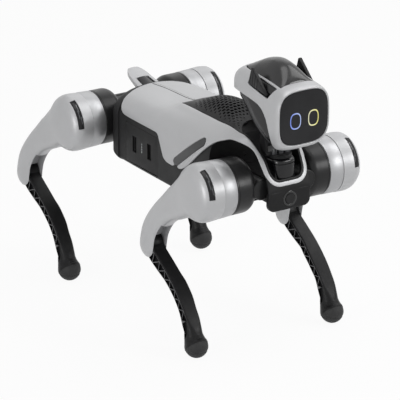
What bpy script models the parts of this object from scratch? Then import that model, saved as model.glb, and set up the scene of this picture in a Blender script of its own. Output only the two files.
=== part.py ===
"""Quadruped robot dog, as a jointed assembly.

Metres, +X forward, +Y to the robot's left, +Z up, feet on z = 0. The trunk is laid out from
the four hip axes: a length along X is an offset from the front or the rear hip axis, and a
height is an offset from the hip axes. Leg pieces are made once, in the frame of the joint
that carries them, and stand on empties that sit on the joint axes.
"""

import math

import bmesh
import bpy
from mathutils import Matrix, Vector

# Stance
HIP_SPACING = 0.445
LEG_PLANE_Y = 0.150
ABDUCTION_Y = 0.048
THIGH_LENGTH = 0.213
SHANK_LENGTH = 0.213
THIGH_LEAN = math.radians(47.0)
SHANK_LEAN = math.radians(43.6)
FOOT_RADIUS = 0.022
HIP_Z = THIGH_LENGTH * math.cos(THIGH_LEAN) + SHANK_LENGTH * math.cos(SHANK_LEAN) + FOOT_RADIUS
FRONT_X = HIP_SPACING / 2
REAR_X = -HIP_SPACING / 2

# Fits
GAP = 0.0003
SLIDE_GAP = 0.0005

# Hip link, the black drum that carries the thigh motor
DRUM_RADIUS = 0.052
DRUM_INNER_Y = 0.055
DRUM_ROUND = 0.018
PIVOT_RADIUS = 0.019
PIVOT_HALF_LENGTH = 0.051
HUB_RADIUS = 0.022

# Thigh
RING_INNER_Y = 0.1003
RING_WIDTH = 0.0282
RING_RADIUS = 0.0530
THIGH_DRUM_RADIUS = 0.0555
THIGH_OUTER_Y = 0.1742
ARM_HALF_WIDTH = 0.0208
KNEE_RADIUS = 0.0235
FORK_RADIUS = 0.0207
KNEE_PIN_RADIUS = 0.006
KNEE_PIN_HALF = 0.0180
SLOT_WINDOW_WIDTH = 0.0095
SLOT_WINDOW_Y = -0.0048
SLOT_WINDOW_DEPTH = 0.0035
SLOT_WINDOW_FROM = math.radians(4.0)
SLOT_WINDOW_TO = math.radians(68.0)

# Shank
SHANK_HALF_WIDTH = 0.0140
SHANK_HEAD_RADIUS = 0.0165
ANKLE_OFFSET = 0.015
TRUSS_DEPTH = 0.0040
TRUSS_BAR = 0.0022
TRUSS_BAYS = 6
ANKLE_POCKET = ((0.80, -0.95), (0.885, -0.75), (0.905, -0.2), (0.885, 0.35), (0.80, 0.55))
KNEE_FLEX = math.radians(58.0)
KNEE_STRETCH = math.radians(45.0)

# Trunk
SHELL_WALL = 0.0025
SHELL_SEAT = 0.0005
SHELL_EXPONENT = 3.0
SKIRT_DROP = 0.050
BELLY_DROP = 0.0662
BELLY_HALF_WIDTH = 0.076
BELLY_CHAMFER = 0.011
BULKHEAD_OFFSET = 0.0575
CORE_HALF_WIDTH = 0.027
CORE_TOP = 0.011
CORE_DEPTH = 0.046
CORE_REACH = 0.0560

# Trunk skin stations: hip that the offset runs from, offset, half width, crown and spring
# line above the hip axes, and how far the middle of the station bows backwards
SKIN_STATIONS = (
    (REAR_X, 0.0785, 0.0925, 0.0667, 0.0213, 0.025),
    (REAR_X, 0.1225, 0.0938, 0.0713, 0.0213, 0.015),
    (REAR_X, 0.1825, 0.0945, 0.0738, 0.0213, 0.0),
    (FRONT_X, -0.2225, 0.0948, 0.0808, 0.0213, 0.0),
    (FRONT_X, -0.1525, 0.0950, 0.0873, 0.0213, 0.0),
    (FRONT_X, -0.0895, 0.0950, 0.0913, 0.0213, 0.0),
    (FRONT_X, -0.0535, 0.0940, 0.0938, 0.0213, 0.0),
    (FRONT_X, -0.0215, 0.0870, 0.0953, 0.0213, 0.0),
    (FRONT_X, 0.0000, 0.0800, 0.0935, 0.0203, 0.0),
    (FRONT_X, 0.0205, 0.0700, 0.0803, 0.0083, 0.0),
    (FRONT_X, 0.0395, 0.0640, 0.0603, -0.0017, 0.0),
    (FRONT_X, 0.0575, 0.0600, 0.0303, -0.0117, 0.0),
    (FRONT_X, 0.0655, 0.0590, 0.0083, -0.0237, 0.0),
    (FRONT_X, 0.0675, 0.0585, -0.0037, -0.0337, 0.0),
)

# Rings of the black rear rim: distance behind the skin's edge, bow and inset
REAR_RIM = (
    (0.0255, 0.0080, 0.0080),
    (0.0215, 0.0110, 0.0028),
    (0.0145, 0.0155, 0.0010),
    (0.0012, 0.0250, 0.0008),
)

# Opening in the skin for the grille and the neck: hip, offset, half width
OPENING_STATIONS = (
    (FRONT_X, -0.2390, 0.0300),
    (FRONT_X, -0.2360, 0.0345),
    (FRONT_X, -0.2300, 0.0366),
    (FRONT_X, -0.1525, 0.0445),
    (FRONT_X, -0.0845, 0.0490),
    (FRONT_X, -0.0225, 0.0505),
    (FRONT_X, 0.0000, 0.0490),
    (FRONT_X, 0.0205, 0.0440),
    (FRONT_X, 0.0395, 0.0400),
    (FRONT_X, 0.0575, 0.0375),
)
OPENING_FLOOR = 0.0133
WELL_ROUND = 0.016

# Lower edge of the skin, from the skirt over the wheel arch to the chest
SKIRT_EDGE = (
    (REAR_X, 0.0500, 0.0345),
    (FRONT_X, -0.2340, 0.0345),
    (FRONT_X, -0.2270, 0.0325),
    (FRONT_X, -0.2230, 0.0285),
    (FRONT_X, -0.2080, -0.0040),
    (FRONT_X, -0.2010, -0.0105),
    (FRONT_X, -0.1900, -0.0130),
    (FRONT_X, -0.1485, -0.0120),
    (FRONT_X, -0.1150, 0.0100),
    (FRONT_X, -0.0820, 0.0400),
    (FRONT_X, -0.0525, 0.0665),
    (FRONT_X, -0.0345, 0.0755),
    (FRONT_X, -0.0215, 0.0793),
    (FRONT_X, 0.0000, 0.0785),
    (FRONT_X, 0.0205, 0.0700),
    (FRONT_X, 0.0395, 0.0540),
    (FRONT_X, 0.0575, 0.0270),
    (FRONT_X, 0.0640, 0.0100),
    (FRONT_X, 0.0790, -0.0300),
)
ARCH_INNER_Y = 0.0465

# Light windows in the skirts
LIGHT_LOW = (-0.1640, -0.0030)
LIGHT_HIGH = (-0.0820, 0.0595)
LIGHT_HALF_WIDTH = 0.0056

# Grille
GRILLE_WALL = 0.0020
GRILLE_RISE = 0.027
GRILLE_WELL = 0.070
GRILLE_FRONT_MID = -0.0585
GRILLE_FRONT_SIDE = -0.0115
GRILLE_ROWS = 7
GRILLE_COLUMNS = 6
GRILLE_HOLE = (0.0068, 0.0026)

# Liner of the neck opening
COLLAR_FRONT = 0.0480
COLLAR_WALL = 0.0015
COLLAR_DEPTH = 0.0100

# Chest and rear end plates
PLATE_THICKNESS = 0.0112
PLATE_HALF_WIDTH = 0.0448
PLATE_TOP = -0.0115
PLATE_BOTTOM = -0.0402
PLATE_ROUND = 0.013
REAR_PLATE_TOP = 0.0110
BUTTON_DROP = 0.0198
BUTTON_RADIUS = 0.0096
BUTTON_HEIGHT = 0.0034
BUTTON_TRAVEL = 0.0012
BEZEL_RADIUS = 0.0148
BEZEL_HEIGHT = 0.0022

# Battery
BATTERY_LENGTH = 0.110
BATTERY_HEIGHT = 0.076
BATTERY_REACH = 0.142
BATTERY_MID = 0.1600
BATTERY_MID_Z = -0.0150
LATCH_SPACING = 0.0510
LATCH_SLOT = (0.0130, 0.0310, 0.0080)
LATCH_PAD = (0.0066, 0.0290, 0.0060)
LATCH_TRAVEL = 0.003

# Motors and boards inside the trunk
MOTOR_RADIUS = 0.030
MOTOR_LENGTH = 0.042
MOTOR_FLANGE_RADIUS = 0.020
SPEAKER_RADIUS = 0.026
SPEAKER_BACK = 0.1150
BOARD_SIZE = (0.060, 0.104, 0.0016)
BOARD_BACK = 0.1800
BOARD_Z = -0.012

# Neck and head
YAW_BACK = -0.0325
NECK_BASE = (0.056, 0.048, 0.0405)
NECK_ROUND = 0.006
TURNTABLE_RADIUS = 0.0225
TURNTABLE_HEIGHT = 0.0055
PITCH_X = 0.0205
PITCH_Z = 0.1063
YOKE_HALF_WIDTH = 0.0300
YOKE_CHEEK = 0.0050
YOKE_SWING = 0.0360
YOKE_RADIUS = 0.0105
BARREL_RADIUS = 0.0165
PITCH_PIN_RADIUS = 0.0050
HEAD_WALL = 0.0030

# Head stations: offset from the front hip, half width, top and bottom above the hip axes, and
# the exponents of the rounded section above and below its middle
HEAD_STATIONS = (
    (0.1085, 0.0545, 0.1993, 0.0943, 3.4, 3.4),
    (0.1000, 0.0575, 0.2030, 0.0868, 3.2, 3.6),
    (0.0825, 0.0590, 0.2060, 0.0818, 3.0, 4.0),
    (0.0575, 0.0590, 0.2098, 0.0810, 2.9, 4.2),
    (0.0275, 0.0575, 0.2125, 0.0905, 2.9, 4.2),
    (-0.0025, 0.0550, 0.2130, 0.1180, 2.9, 4.2),
    (-0.0275, 0.0525, 0.2110, 0.1375, 3.0, 4.0),
    (-0.0420, 0.0480, 0.2063, 0.1470, 3.1, 3.6),
    (-0.0475, 0.0400, 0.1993, 0.1560, 3.1, 3.2),
)
DISPLAY_THICKNESS = 0.0085
DISPLAY_DOME = 0.0018
CAP_HALF_WIDTH = 0.0350
CAP_BACK = -0.0350
CAP_FRONT = 0.0868
CAP_RISE = 0.0232
EAR_WINDOW = ((0.0065, 0.1903), (0.0055, 0.2143), (0.0835, 0.2023), (0.0735, 0.1803))
EAR_OUTLINE = ((0.0105, 0.1918), (0.0210, 0.2238), (0.0240, 0.2230), (0.0675, 0.1838))
EAR_INNER_Y = 0.0468
EAR_THICKNESS = 0.0070
CHEEK_EDGE = (
    (-0.0600, 0.1680),
    (-0.0300, 0.1690),
    (0.0350, 0.1655),
    (0.0575, 0.1600),
    (0.0700, 0.1500),
    (0.0775, 0.1380),
    (0.0840, 0.1200),
    (0.0875, 0.1050),
    (0.0875, 0.0500),
    (-0.0600, 0.0500),
)

# Tail fin
TAIL_LENGTH = 0.066
TAIL_ROOT_WIDTH = 0.051
TAIL_TIP_WIDTH = 0.036
TAIL_RISE = 0.0185
TAIL_INLAY_MIDDLE = 0.30
TAIL_THICKNESS = 0.0060
TAIL_TONGUE = 0.006
TAIL_TOP = 0.0645
TAIL_BACK = 0.0500

# Facets
ROUND_STEPS = 14
DRUM_STEPS = 18
SMALL_STEPS = 10

SILVER = ("silver_paint", (0.52, 0.53, 0.56), 0.34, 0.55)
BLACK = ("black_plastic", (0.035, 0.035, 0.037), 0.45, 0.0)
GRAPHITE = ("graphite_composite", (0.055, 0.055, 0.058), 0.5, 0.0)
GLASS = ("black_glass", (0.012, 0.012, 0.014), 0.1, 0.0)
RUBBER = ("rubber", (0.05, 0.05, 0.05), 0.85, 0.0)
STEEL = ("steel", (0.45, 0.45, 0.46), 0.3, 1.0)
BOARD = ("circuit_board", (0.02, 0.09, 0.05), 0.5, 0.0)


def clear_scene():
    for old in list(bpy.data.objects):
        bpy.data.objects.remove(old, do_unlink=True)


def new_collection(name):
    made = bpy.data.collections.new(name)
    bpy.context.scene.collection.children.link(made)
    return made


def material_of(finish):
    name, colour, roughness, metallic = finish
    found = bpy.data.materials.get(name)
    if found:
        return found
    made = bpy.data.materials.new(name)
    made.use_nodes = True
    shader = made.node_tree.nodes["Principled BSDF"]
    shader.inputs["Base Color"].default_value = (*colour, 1.0)
    shader.inputs["Roughness"].default_value = roughness
    shader.inputs["Metallic"].default_value = metallic
    return made


def solid(name, mesh):
    """A working object in the cutter collection, hidden from renders."""
    made = bpy.data.objects.new(name, mesh)
    made.hide_render = True
    made.display_type = "WIRE"
    CUTTERS.objects.link(made)
    return made


def from_bmesh(name, shape):
    bmesh.ops.recalc_face_normals(shape, faces=shape.faces)
    mesh = bpy.data.meshes.new(name)
    shape.to_mesh(mesh)
    shape.free()
    return solid(name, mesh)


def box(name, low, high):
    shape = bmesh.new()
    bmesh.ops.create_cube(shape, size=1.0)
    size = Vector(high) - Vector(low)
    middle = (Vector(high) + Vector(low)) / 2
    bmesh.ops.scale(shape, vec=size, verts=shape.verts)
    bmesh.ops.translate(shape, vec=middle, verts=shape.verts)
    return from_bmesh(name, shape)


def rod(name, radius, start, end, steps=ROUND_STEPS):
    """A cylinder from one point to another."""
    start = Vector(start)
    end = Vector(end)
    shape = bmesh.new()
    bmesh.ops.create_cone(shape, cap_ends=True, segments=steps, radius1=radius, radius2=radius,
                          depth=(end - start).length)
    turn = (end - start).to_track_quat("Z", "Y").to_matrix().to_4x4()
    bmesh.ops.transform(shape, matrix=Matrix.Translation((start + end) / 2) @ turn, verts=shape.verts)
    return from_bmesh(name, shape)


def loft(name, rings, wrap=True, capped=True):
    """A skin through rings of as many points each."""
    shape = bmesh.new()
    rows = [[shape.verts.new(point) for point in ring] for ring in rings]
    count = len(rows[0])
    for first, second in zip(rows, rows[1:]):
        for i in range(count if wrap else count - 1):
            j = (i + 1) % count
            shape.faces.new((first[i], first[j], second[j], second[i]))
    if wrap and capped:
        for row in (rows[0], rows[-1]):
            centre = shape.verts.new(sum((vert.co for vert in row), Vector()) / count)
            for i in range(count):
                shape.faces.new((row[i], row[(i + 1) % count], centre))
    return from_bmesh(name, shape)


def turned(name, profile, axis="Y", steps=ROUND_STEPS):
    """A solid of revolution. The profile is (place along the axis, radius), ends on the axis."""
    mesh = bpy.data.meshes.new(name)
    points = [(radius, 0.0, -place) for place, radius in profile]
    mesh.from_pydata(points, [(i, i + 1) for i in range(len(points) - 1)], [])
    made = solid(name, mesh)
    screw = made.modifiers.new("Screw", "SCREW")
    screw.steps = steps
    screw.render_steps = steps
    screw.use_merge_vertices = True
    screw.merge_threshold = 1e-5
    turn = {"Y": Matrix.Rotation(math.pi / 2, 4, "X"), "X": Matrix.Rotation(-math.pi / 2, 4, "Y"),
            "Z": Matrix.Rotation(math.pi, 4, "X")}[axis]
    return baked(made, turn)


def prism(name, outline, low, high, across="Y"):
    """A flat outline pushed out between two planes across the named axis."""
    curve = bpy.data.curves.new(name, "CURVE")
    curve.dimensions = "2D"
    curve.fill_mode = "BOTH"
    curve.extrude = (high - low) / 2
    spline = curve.splines.new("POLY")
    spline.points.add(len(outline) - 1)
    for point, (u, v) in zip(spline.points, outline):
        point.co = (u, v, 0.0, 1.0)
    spline.use_cyclic_u = True
    made = bpy.data.objects.new(name, curve)
    CUTTERS.objects.link(made)
    middle = (high + low) / 2
    turn = {"Y": Matrix.Translation((0, middle, 0)) @ Matrix.Rotation(math.pi / 2, 4, "X"),
            "Z": Matrix.Translation((0, 0, middle)),
            "X": Matrix.Translation((middle, 0, 0)) @ Matrix.Rotation(math.pi / 2, 4, "Z")
            @ Matrix.Rotation(math.pi / 2, 4, "X")}[across]
    return baked(made, turn)


def baked(made, matrix=None):
    """The object with its modifiers in its mesh, and moved by the matrix."""
    bpy.context.view_layer.update()
    graph = bpy.context.evaluated_depsgraph_get()
    mesh = bpy.data.meshes.new_from_object(made.evaluated_get(graph), depsgraph=graph)
    name = made.name
    used = [modifier.object for modifier in made.modifiers if modifier.type == "BOOLEAN"]
    bpy.data.objects.remove(made, do_unlink=True)
    for other in used:
        bpy.data.objects.remove(other, do_unlink=True)
    shape = bmesh.new()
    shape.from_mesh(mesh)
    bmesh.ops.remove_doubles(shape, verts=shape.verts, dist=1e-6)
    if matrix is not None:
        bmesh.ops.transform(shape, matrix=matrix, verts=shape.verts)
    bpy.data.meshes.remove(mesh)
    return from_bmesh(name, shape)


def combined(made, other, operation):
    modifier = made.modifiers.new(other.name, "BOOLEAN")
    modifier.operation = operation
    modifier.object = other
    return made


def cut(made, *cutters):
    for cutter in cutters:
        combined(made, cutter, "DIFFERENCE")
    return made


def joined(made, *others):
    for other in others:
        combined(made, other, "UNION")
    return made


def rounded(made, width, segments=2, angle=math.radians(50)):
    bevel = made.modifiers.new("Bevel", "BEVEL")
    bevel.width = width
    bevel.segments = segments
    bevel.limit_method = "ANGLE"
    bevel.angle_limit = angle
    return made


def piece(name, made, finish, parent=None):
    """Turns a working object into a named part of the robot."""
    made.name = name
    made.data.name = name
    made.hide_render = False
    made.display_type = "TEXTURED"
    CUTTERS.objects.unlink(made)
    ROBOT.objects.link(made)
    made.data.materials.clear()
    made.data.materials.append(material_of(finish))
    made.data.shade_smooth()
    made.data.set_sharp_from_angle(angle=math.radians(35))
    made.parent = parent or ROOT
    return made


def axis_empty(name, parent, location, scale_y=1.0):
    made = bpy.data.objects.new(name, None)
    made.empty_display_size = 0.02
    made.location = location
    made.scale.y = scale_y
    made.parent = parent
    ROBOT.objects.link(made)
    return made


def eased(keys, count):
    """Points on a smooth curve through the keys, evenly shared between them."""
    last = len(keys) - 1
    made = []
    for step in range(count):
        place = step / (count - 1) * last
        i = min(int(place), last - 1)
        t = place - i
        before = keys[max(i - 1, 0)]
        after = keys[min(i + 2, last)]
        row = []
        for p0, p1, p2, p3 in zip(before, keys[i], keys[i + 1], after):
            row.append(0.5 * (2 * p1 + (p2 - p0) * t + (2 * p0 - 5 * p1 + 4 * p2 - p3) * t * t
                              + (3 * p1 - p0 - 3 * p2 + p3) * t ** 3))
        made.append(tuple(row))
    return made


def between(keys, place):
    """Straight-line reading of a table whose first column is the place."""
    for first, second in zip(keys, keys[1:]):
        if place <= second[0]:
            share = (place - first[0]) / (second[0] - first[0])
            return tuple(a + (b - a) * share for a, b in zip(first, second))
    return keys[-1]


def signed_power(value, power):
    return math.copysign(abs(value) ** power, value)


def placed(stations):
    """Stations with the hip and the offset made one place along X."""
    return [(station[0] + station[1], *station[2:]) for station in stations]


SKIN = placed(SKIN_STATIONS)
OPENING = placed(OPENING_STATIONS)
HEAD = [(FRONT_X + x, half, HIP_Z + top, HIP_Z + bottom, *bends)
        for x, half, top, bottom, *bends in HEAD_STATIONS]


# Trunk skin

SKIN_ANGLES = [math.radians(angle) for angle in (0, 20, 38, 53, 67, 79, 90)]


def skin_section(station, inset=0.0, skirt=SKIRT_DROP):
    """One cross line of the trunk skin, from the left skirt over the crown to the right one."""
    x, half, crown, spring, bow = station
    half -= inset
    rise = crown - spring - inset
    power = 2.0 / SHELL_EXPONENT
    left = []
    for angle in SKIN_ANGLES:
        y = half * math.sin(angle) ** power
        lift = math.cos(angle) ** power if angle < math.pi / 2 else 0.0
        back = bow * (1 - (y / half) ** 2) * lift ** 2
        left.append((x - back, y, HIP_Z + spring + rise * lift))
    left.append((x, half, HIP_Z + spring - skirt))
    right = [(px, -py, pz) for px, py, pz in left[1:]]
    return left[::-1] + right


def skin_height(x, y):
    """Height of the trunk skin over a point of the plan."""
    _, half, crown, spring, _ = between(SKIN, x)
    reach = min(abs(y) / half, 1.0)
    return HIP_Z + spring + (crown - spring) * (1 - reach ** SHELL_EXPONENT) ** (1 / SHELL_EXPONENT)


def skin_shell(name):
    made = loft(name, [skin_section(station) for station in SKIN], wrap=False)
    wall = made.modifiers.new("Wall", "SOLIDIFY")
    wall.thickness = SHELL_WALL
    wall.offset = -1.0
    return baked(facing_out(made))


def facing_out(made):
    """Turns an open skin so that its crown faces up."""
    highest = max(made.data.polygons, key=lambda face: face.center.z)
    if highest.normal.z < 0:
        made.data.flip_normals()
    return made


def well_section(x, half):
    """One section of the neck well, round at its two floor corners."""
    floor = HIP_Z + OPENING_FLOOR
    left = [(x, half, HIP_Z + 0.2)]
    for i in range(4):
        angle = math.pi / 2 * i / 3
        inset = WELL_ROUND * (1 - math.cos(angle))
        lift = WELL_ROUND * (1 - math.sin(angle))
        left.append((x, half - inset, floor + lift))
    return left + [(px, -py, pz) for px, py, pz in left[::-1]]


def skirt_cutter(name, side):
    edge = [(hip + x, HIP_Z + z) for hip, x, z in SKIRT_EDGE]
    floor = HIP_Z - 0.12
    outline = [(edge[0][0] - 0.05, floor), (edge[0][0] - 0.05, edge[0][1])] + edge + [(edge[-1][0], floor)]
    far = 0.14
    low, high = sorted((side * ARCH_INNER_Y, side * far))
    return prism(name, outline, low, high)


def stadium(start, end, half_width, steps=6):
    """Outline of a slot with round ends."""
    start = Vector(start)
    end = Vector(end)
    along = (end - start).normalized()
    across = Vector((-along.y, along.x))
    points = []
    for centre, turn in ((start, math.pi), (end, 0.0)):
        for i in range(steps + 1):
            angle = turn + math.pi * (i / steps - 0.5)
            reach = math.cos(angle) * along + math.sin(angle) * across
            points.append(tuple(centre + half_width * reach))
    return points


def light_prism(name, side, half_width):
    start = (FRONT_X + LIGHT_LOW[0], HIP_Z + LIGHT_LOW[1])
    end = (FRONT_X + LIGHT_HIGH[0], HIP_Z + LIGHT_HIGH[1])
    low, high = sorted((side * 0.06, side * 0.12))
    return prism(name, stadium(start, end, half_width), low, high)


def build_top_shell():
    ahead = (FRONT_X + 0.09, OPENING[-1][1])
    well = loft("well_cutter", [well_section(x, half) for x, half in OPENING + [ahead]])
    shell = skin_shell("top_shell")
    cut(shell, well, skirt_cutter("left_skirt", 1), skirt_cutter("right_skirt", -1))
    for side, label in SIDES:
        cut(shell, light_prism(label + "_light_cutter", side, LIGHT_HALF_WIDTH))
    piece("top_shell", baked(shell), SILVER)
    for side, label in SIDES:
        lens = skin_shell(label + "_lens")
        combined(lens, light_prism(label + "_light", side, LIGHT_HALF_WIDTH - GAP), "INTERSECT")
        piece(label + "_light_window", baked(lens), GLASS)


# Chassis

def chassis_section(station, inset):
    """The trunk skin moved in by the inset, closed by a chamfered belly."""
    over = skin_section(station, inset, skirt=0.0)[1:-1]
    x, half, _, _, _ = station
    side = half - inset
    belly = HIP_Z - BELLY_DROP
    under = [(x, -side, belly + BELLY_CHAMFER), (x, -BELLY_HALF_WIDTH, belly),
             (x, BELLY_HALF_WIDTH, belly), (x, side, belly + BELLY_CHAMFER)]
    return over + under


def chassis_shape():
    seat = SHELL_WALL + SHELL_SEAT
    edge = SKIN[0]
    rings = []
    for back, bow, inset in REAR_RIM:
        rings.append(chassis_section((edge[0] - back, *edge[1:4], bow), inset))
    rings.append(chassis_section((edge[0] - 0.0006, *edge[1:]), seat))
    front = FRONT_X - BULKHEAD_OFFSET
    middle = [station for station in SKIN[1:] if station[0] < front - 0.01]
    rings += [chassis_section(station, seat) for station in middle]
    rings.append(chassis_section(between(SKIN, front), seat))
    return loft("chassis", rings)


def core(name, from_x, to_x):
    low = (min(from_x, to_x), -CORE_HALF_WIDTH, HIP_Z + CORE_TOP - CORE_DEPTH)
    high = (max(from_x, to_x), CORE_HALF_WIDTH, HIP_Z + CORE_TOP)
    return box(name, low, high)


def motor_bore(hip_x, side):
    """The bore of one abduction motor, open at the bulkhead that faces the hip."""
    inward = -1 if hip_x > 0 else 1
    mouth = hip_x + inward * (BULKHEAD_OFFSET - 0.02)
    back = hip_x + inward * (BULKHEAD_OFFSET + MOTOR_LENGTH + GAP)
    y = side * ABDUCTION_Y
    return rod("motor_bore", MOTOR_RADIUS + GAP, (mouth, y, HIP_Z), (back, y, HIP_Z))


def battery_box(name, clearance):
    side = between(SKIN, REAR_X + BATTERY_MID)[1] - SHELL_WALL - SHELL_SEAT
    middle = REAR_X + BATTERY_MID
    low = (middle - BATTERY_LENGTH / 2 - clearance, -side - (0.05 if clearance else 0.0),
           HIP_Z + BATTERY_MID_Z - BATTERY_HEIGHT / 2 - clearance)
    high = (middle + BATTERY_LENGTH / 2 + clearance, BATTERY_REACH - side + clearance,
            HIP_Z + BATTERY_MID_Z + BATTERY_HEIGHT / 2 + clearance)
    return box(name, low, high)


def board_bay():
    x = FRONT_X - BOARD_BACK
    half_x = BOARD_SIZE[0] / 2 + 0.003
    half_y = BOARD_SIZE[1] / 2 + 0.003
    low = (x - half_x, -half_y, HIP_Z + BOARD_Z - GAP)
    return box("board_bay", low, (x + half_x, half_y, HIP_Z + 0.2))


def speaker_bore():
    x = FRONT_X - SPEAKER_BACK
    return rod("speaker_bore", SPEAKER_RADIUS + GAP, (x, 0, HIP_Z + 0.058), (x, 0, HIP_Z + 0.2))


def build_chassis():
    chassis = chassis_shape()
    front = FRONT_X - BULKHEAD_OFFSET
    rear = REAR_X + BULKHEAD_OFFSET
    joined(chassis, core("front_core", front - 0.01, FRONT_X + CORE_REACH),
           core("rear_core", rear + 0.01, REAR_X - CORE_REACH))
    back = OPENING[0][0] - 0.001
    ahead = FRONT_X - 0.0311
    outline = [(back, -0.029), (ahead, -0.043), (ahead, 0.043), (back, 0.029)]
    chassis = baked(chassis)
    cut(chassis, prism("grille_well", outline, HIP_Z + GRILLE_WELL, HIP_Z + 0.2, "Z"))
    for hip_x in (FRONT_X, REAR_X):
        for side, _ in SIDES:
            chassis = baked(cut(chassis, motor_bore(hip_x, side)))
    for hollow in (board_bay(), speaker_bore(), tail_slot(), battery_box("battery_bay", SLIDE_GAP)):
        chassis = baked(cut(chassis, hollow))
    piece("chassis", chassis, BLACK)


def build_motors():
    for hip_x, end in ((FRONT_X, "front"), (REAR_X, "rear")):
        inward = -1 if hip_x > 0 else 1
        for side, label in SIDES:
            back = hip_x + inward * (BULKHEAD_OFFSET + MOTOR_LENGTH)
            mouth = hip_x + inward * BULKHEAD_OFFSET
            tip = hip_x + inward * (PIVOT_HALF_LENGTH + GAP)
            y = side * ABDUCTION_Y
            name = f"{end}_{label}_hip_motor"
            motor = rod(name, MOTOR_RADIUS, (back, y, HIP_Z), (mouth, y, HIP_Z))
            joined(motor, rod(name + "_flange", MOTOR_FLANGE_RADIUS, (mouth + inward * 0.001, y, HIP_Z),
                              (tip, y, HIP_Z)))
            piece(name, baked(motor), GRAPHITE)


def build_inside():
    x = FRONT_X - BOARD_BACK
    half_x, half_y, thick = BOARD_SIZE[0] / 2, BOARD_SIZE[1] / 2, BOARD_SIZE[2]
    z = HIP_Z + BOARD_Z
    board = box("mainboard", (x - half_x, -half_y, z), (x + half_x, half_y, z + thick))
    joined(board, box("processor", (x - 0.016, -0.016, z + 0.001), (x + 0.016, 0.016, z + 0.012)),
           box("connector", (x - 0.022, 0.030, z + 0.001), (x + 0.022, 0.040, z + 0.008)))
    piece("mainboard", baked(board), BOARD)
    x = FRONT_X - SPEAKER_BACK
    low = HIP_Z + 0.058 + GAP
    profile = [(0.0, 0.0), (0.0, 0.018), (0.008, 0.020), (0.012, SPEAKER_RADIUS), (0.015, SPEAKER_RADIUS),
               (0.015, SPEAKER_RADIUS - 0.003), (0.009, 0.008), (0.010, 0.0)]
    speaker = turned("speaker", profile, "Z", 12)
    piece("speaker", baked(speaker, Matrix.Translation((x, 0, low))), BLACK)


# Grille

def grille_point(u, v, drop=0.0):
    """A point of the domed grille: u runs from back to front, v from side to side."""
    back = OPENING[0][0] + 2 * GAP
    front_mid = FRONT_X + GRILLE_FRONT_MID
    front_side = FRONT_X + GRILLE_FRONT_SIDE
    x = back + u * (front_mid + (front_side - front_mid) * v * v - back)
    half = between(OPENING, x)[1] - 2 * GAP
    edge = skin_height(x, half)
    dome = math.sin(math.pi * u ** 1.4) ** 0.9 if 0 < u < 1 else 0.0
    return x, v * half, edge + GRILLE_RISE * dome * (1 - v * v) - drop


def build_grille():
    steps_u, steps_v = 8, 6
    rings = [[grille_point(i / steps_u, 1 - 2 * j / steps_v) for j in range(steps_v + 1)]
             for i in range(steps_u + 1)]
    panel = facing_out(loft("grille_panel", rings, wrap=False))
    wall = panel.modifiers.new("Wall", "SOLIDIFY")
    wall.thickness = GRILLE_WALL
    wall.offset = -1.0
    panel = baked(panel)
    holes = bmesh.new()
    for row in range(GRILLE_ROWS):
        for column in range(GRILLE_COLUMNS):
            u = 0.26 + 0.60 * row / (GRILLE_ROWS - 1)
            shift = 0.5 if row % 2 else 0.0
            v = -0.80 + 1.6 * (column + shift) / (GRILLE_COLUMNS - 0.5)
            centre = Vector(grille_point(u, v))
            made = bmesh.ops.create_cube(holes, size=1.0)["verts"]
            bmesh.ops.scale(holes, vec=(GRILLE_HOLE[1], GRILLE_HOLE[0], 0.02), verts=made)
            skew = Matrix.Rotation(math.radians(28), 4, "Z")
            bmesh.ops.transform(holes, matrix=Matrix.Translation(centre) @ skew, verts=made)
    cut(panel, from_bmesh("grille_holes", holes))
    piece("grille_panel", baked(panel), GRAPHITE)


def build_neck_collar():
    """The liner that edges the neck opening, just under the skin."""
    floor = HIP_Z + OPENING_FLOOR + WELL_ROUND + GAP
    rings = []
    keys = [(x, half) for x, half in OPENING if FRONT_X - 0.012 < x < FRONT_X + 0.045]
    keys.append(between(OPENING, FRONT_X + COLLAR_FRONT))
    for x, half in eased(keys, 7):
        outer = half - 2 * GAP
        top = skin_height(x, outer) - 0.0004
        low = max(top - COLLAR_DEPTH, floor)
        inner = outer - COLLAR_WALL
        rings.append([(x, outer, top), (x, inner, top), (x, inner, low), (x, outer, low)])
    for side, label in SIDES:
        ring = [[(x, side * y, z) for x, y, z in points] for points in rings]
        piece(f"{label}_neck_collar", loft(f"{label}_neck_collar", ring), GRAPHITE)


# End plates and the chest button

def plate_outline(top, bottom):
    """A plate seen from the front, round at its lower corners."""
    half = PLATE_HALF_WIDTH
    points = [(half, top), (-half, top)]
    for centre, start in ((-half + PLATE_ROUND, math.pi), (half - PLATE_ROUND, 1.5 * math.pi)):
        for i in range(6):
            angle = start + i / 5 * math.pi / 2
            points.append((centre + PLATE_ROUND * math.cos(angle),
                           bottom + PLATE_ROUND + PLATE_ROUND * math.sin(angle)))
    return points


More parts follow.
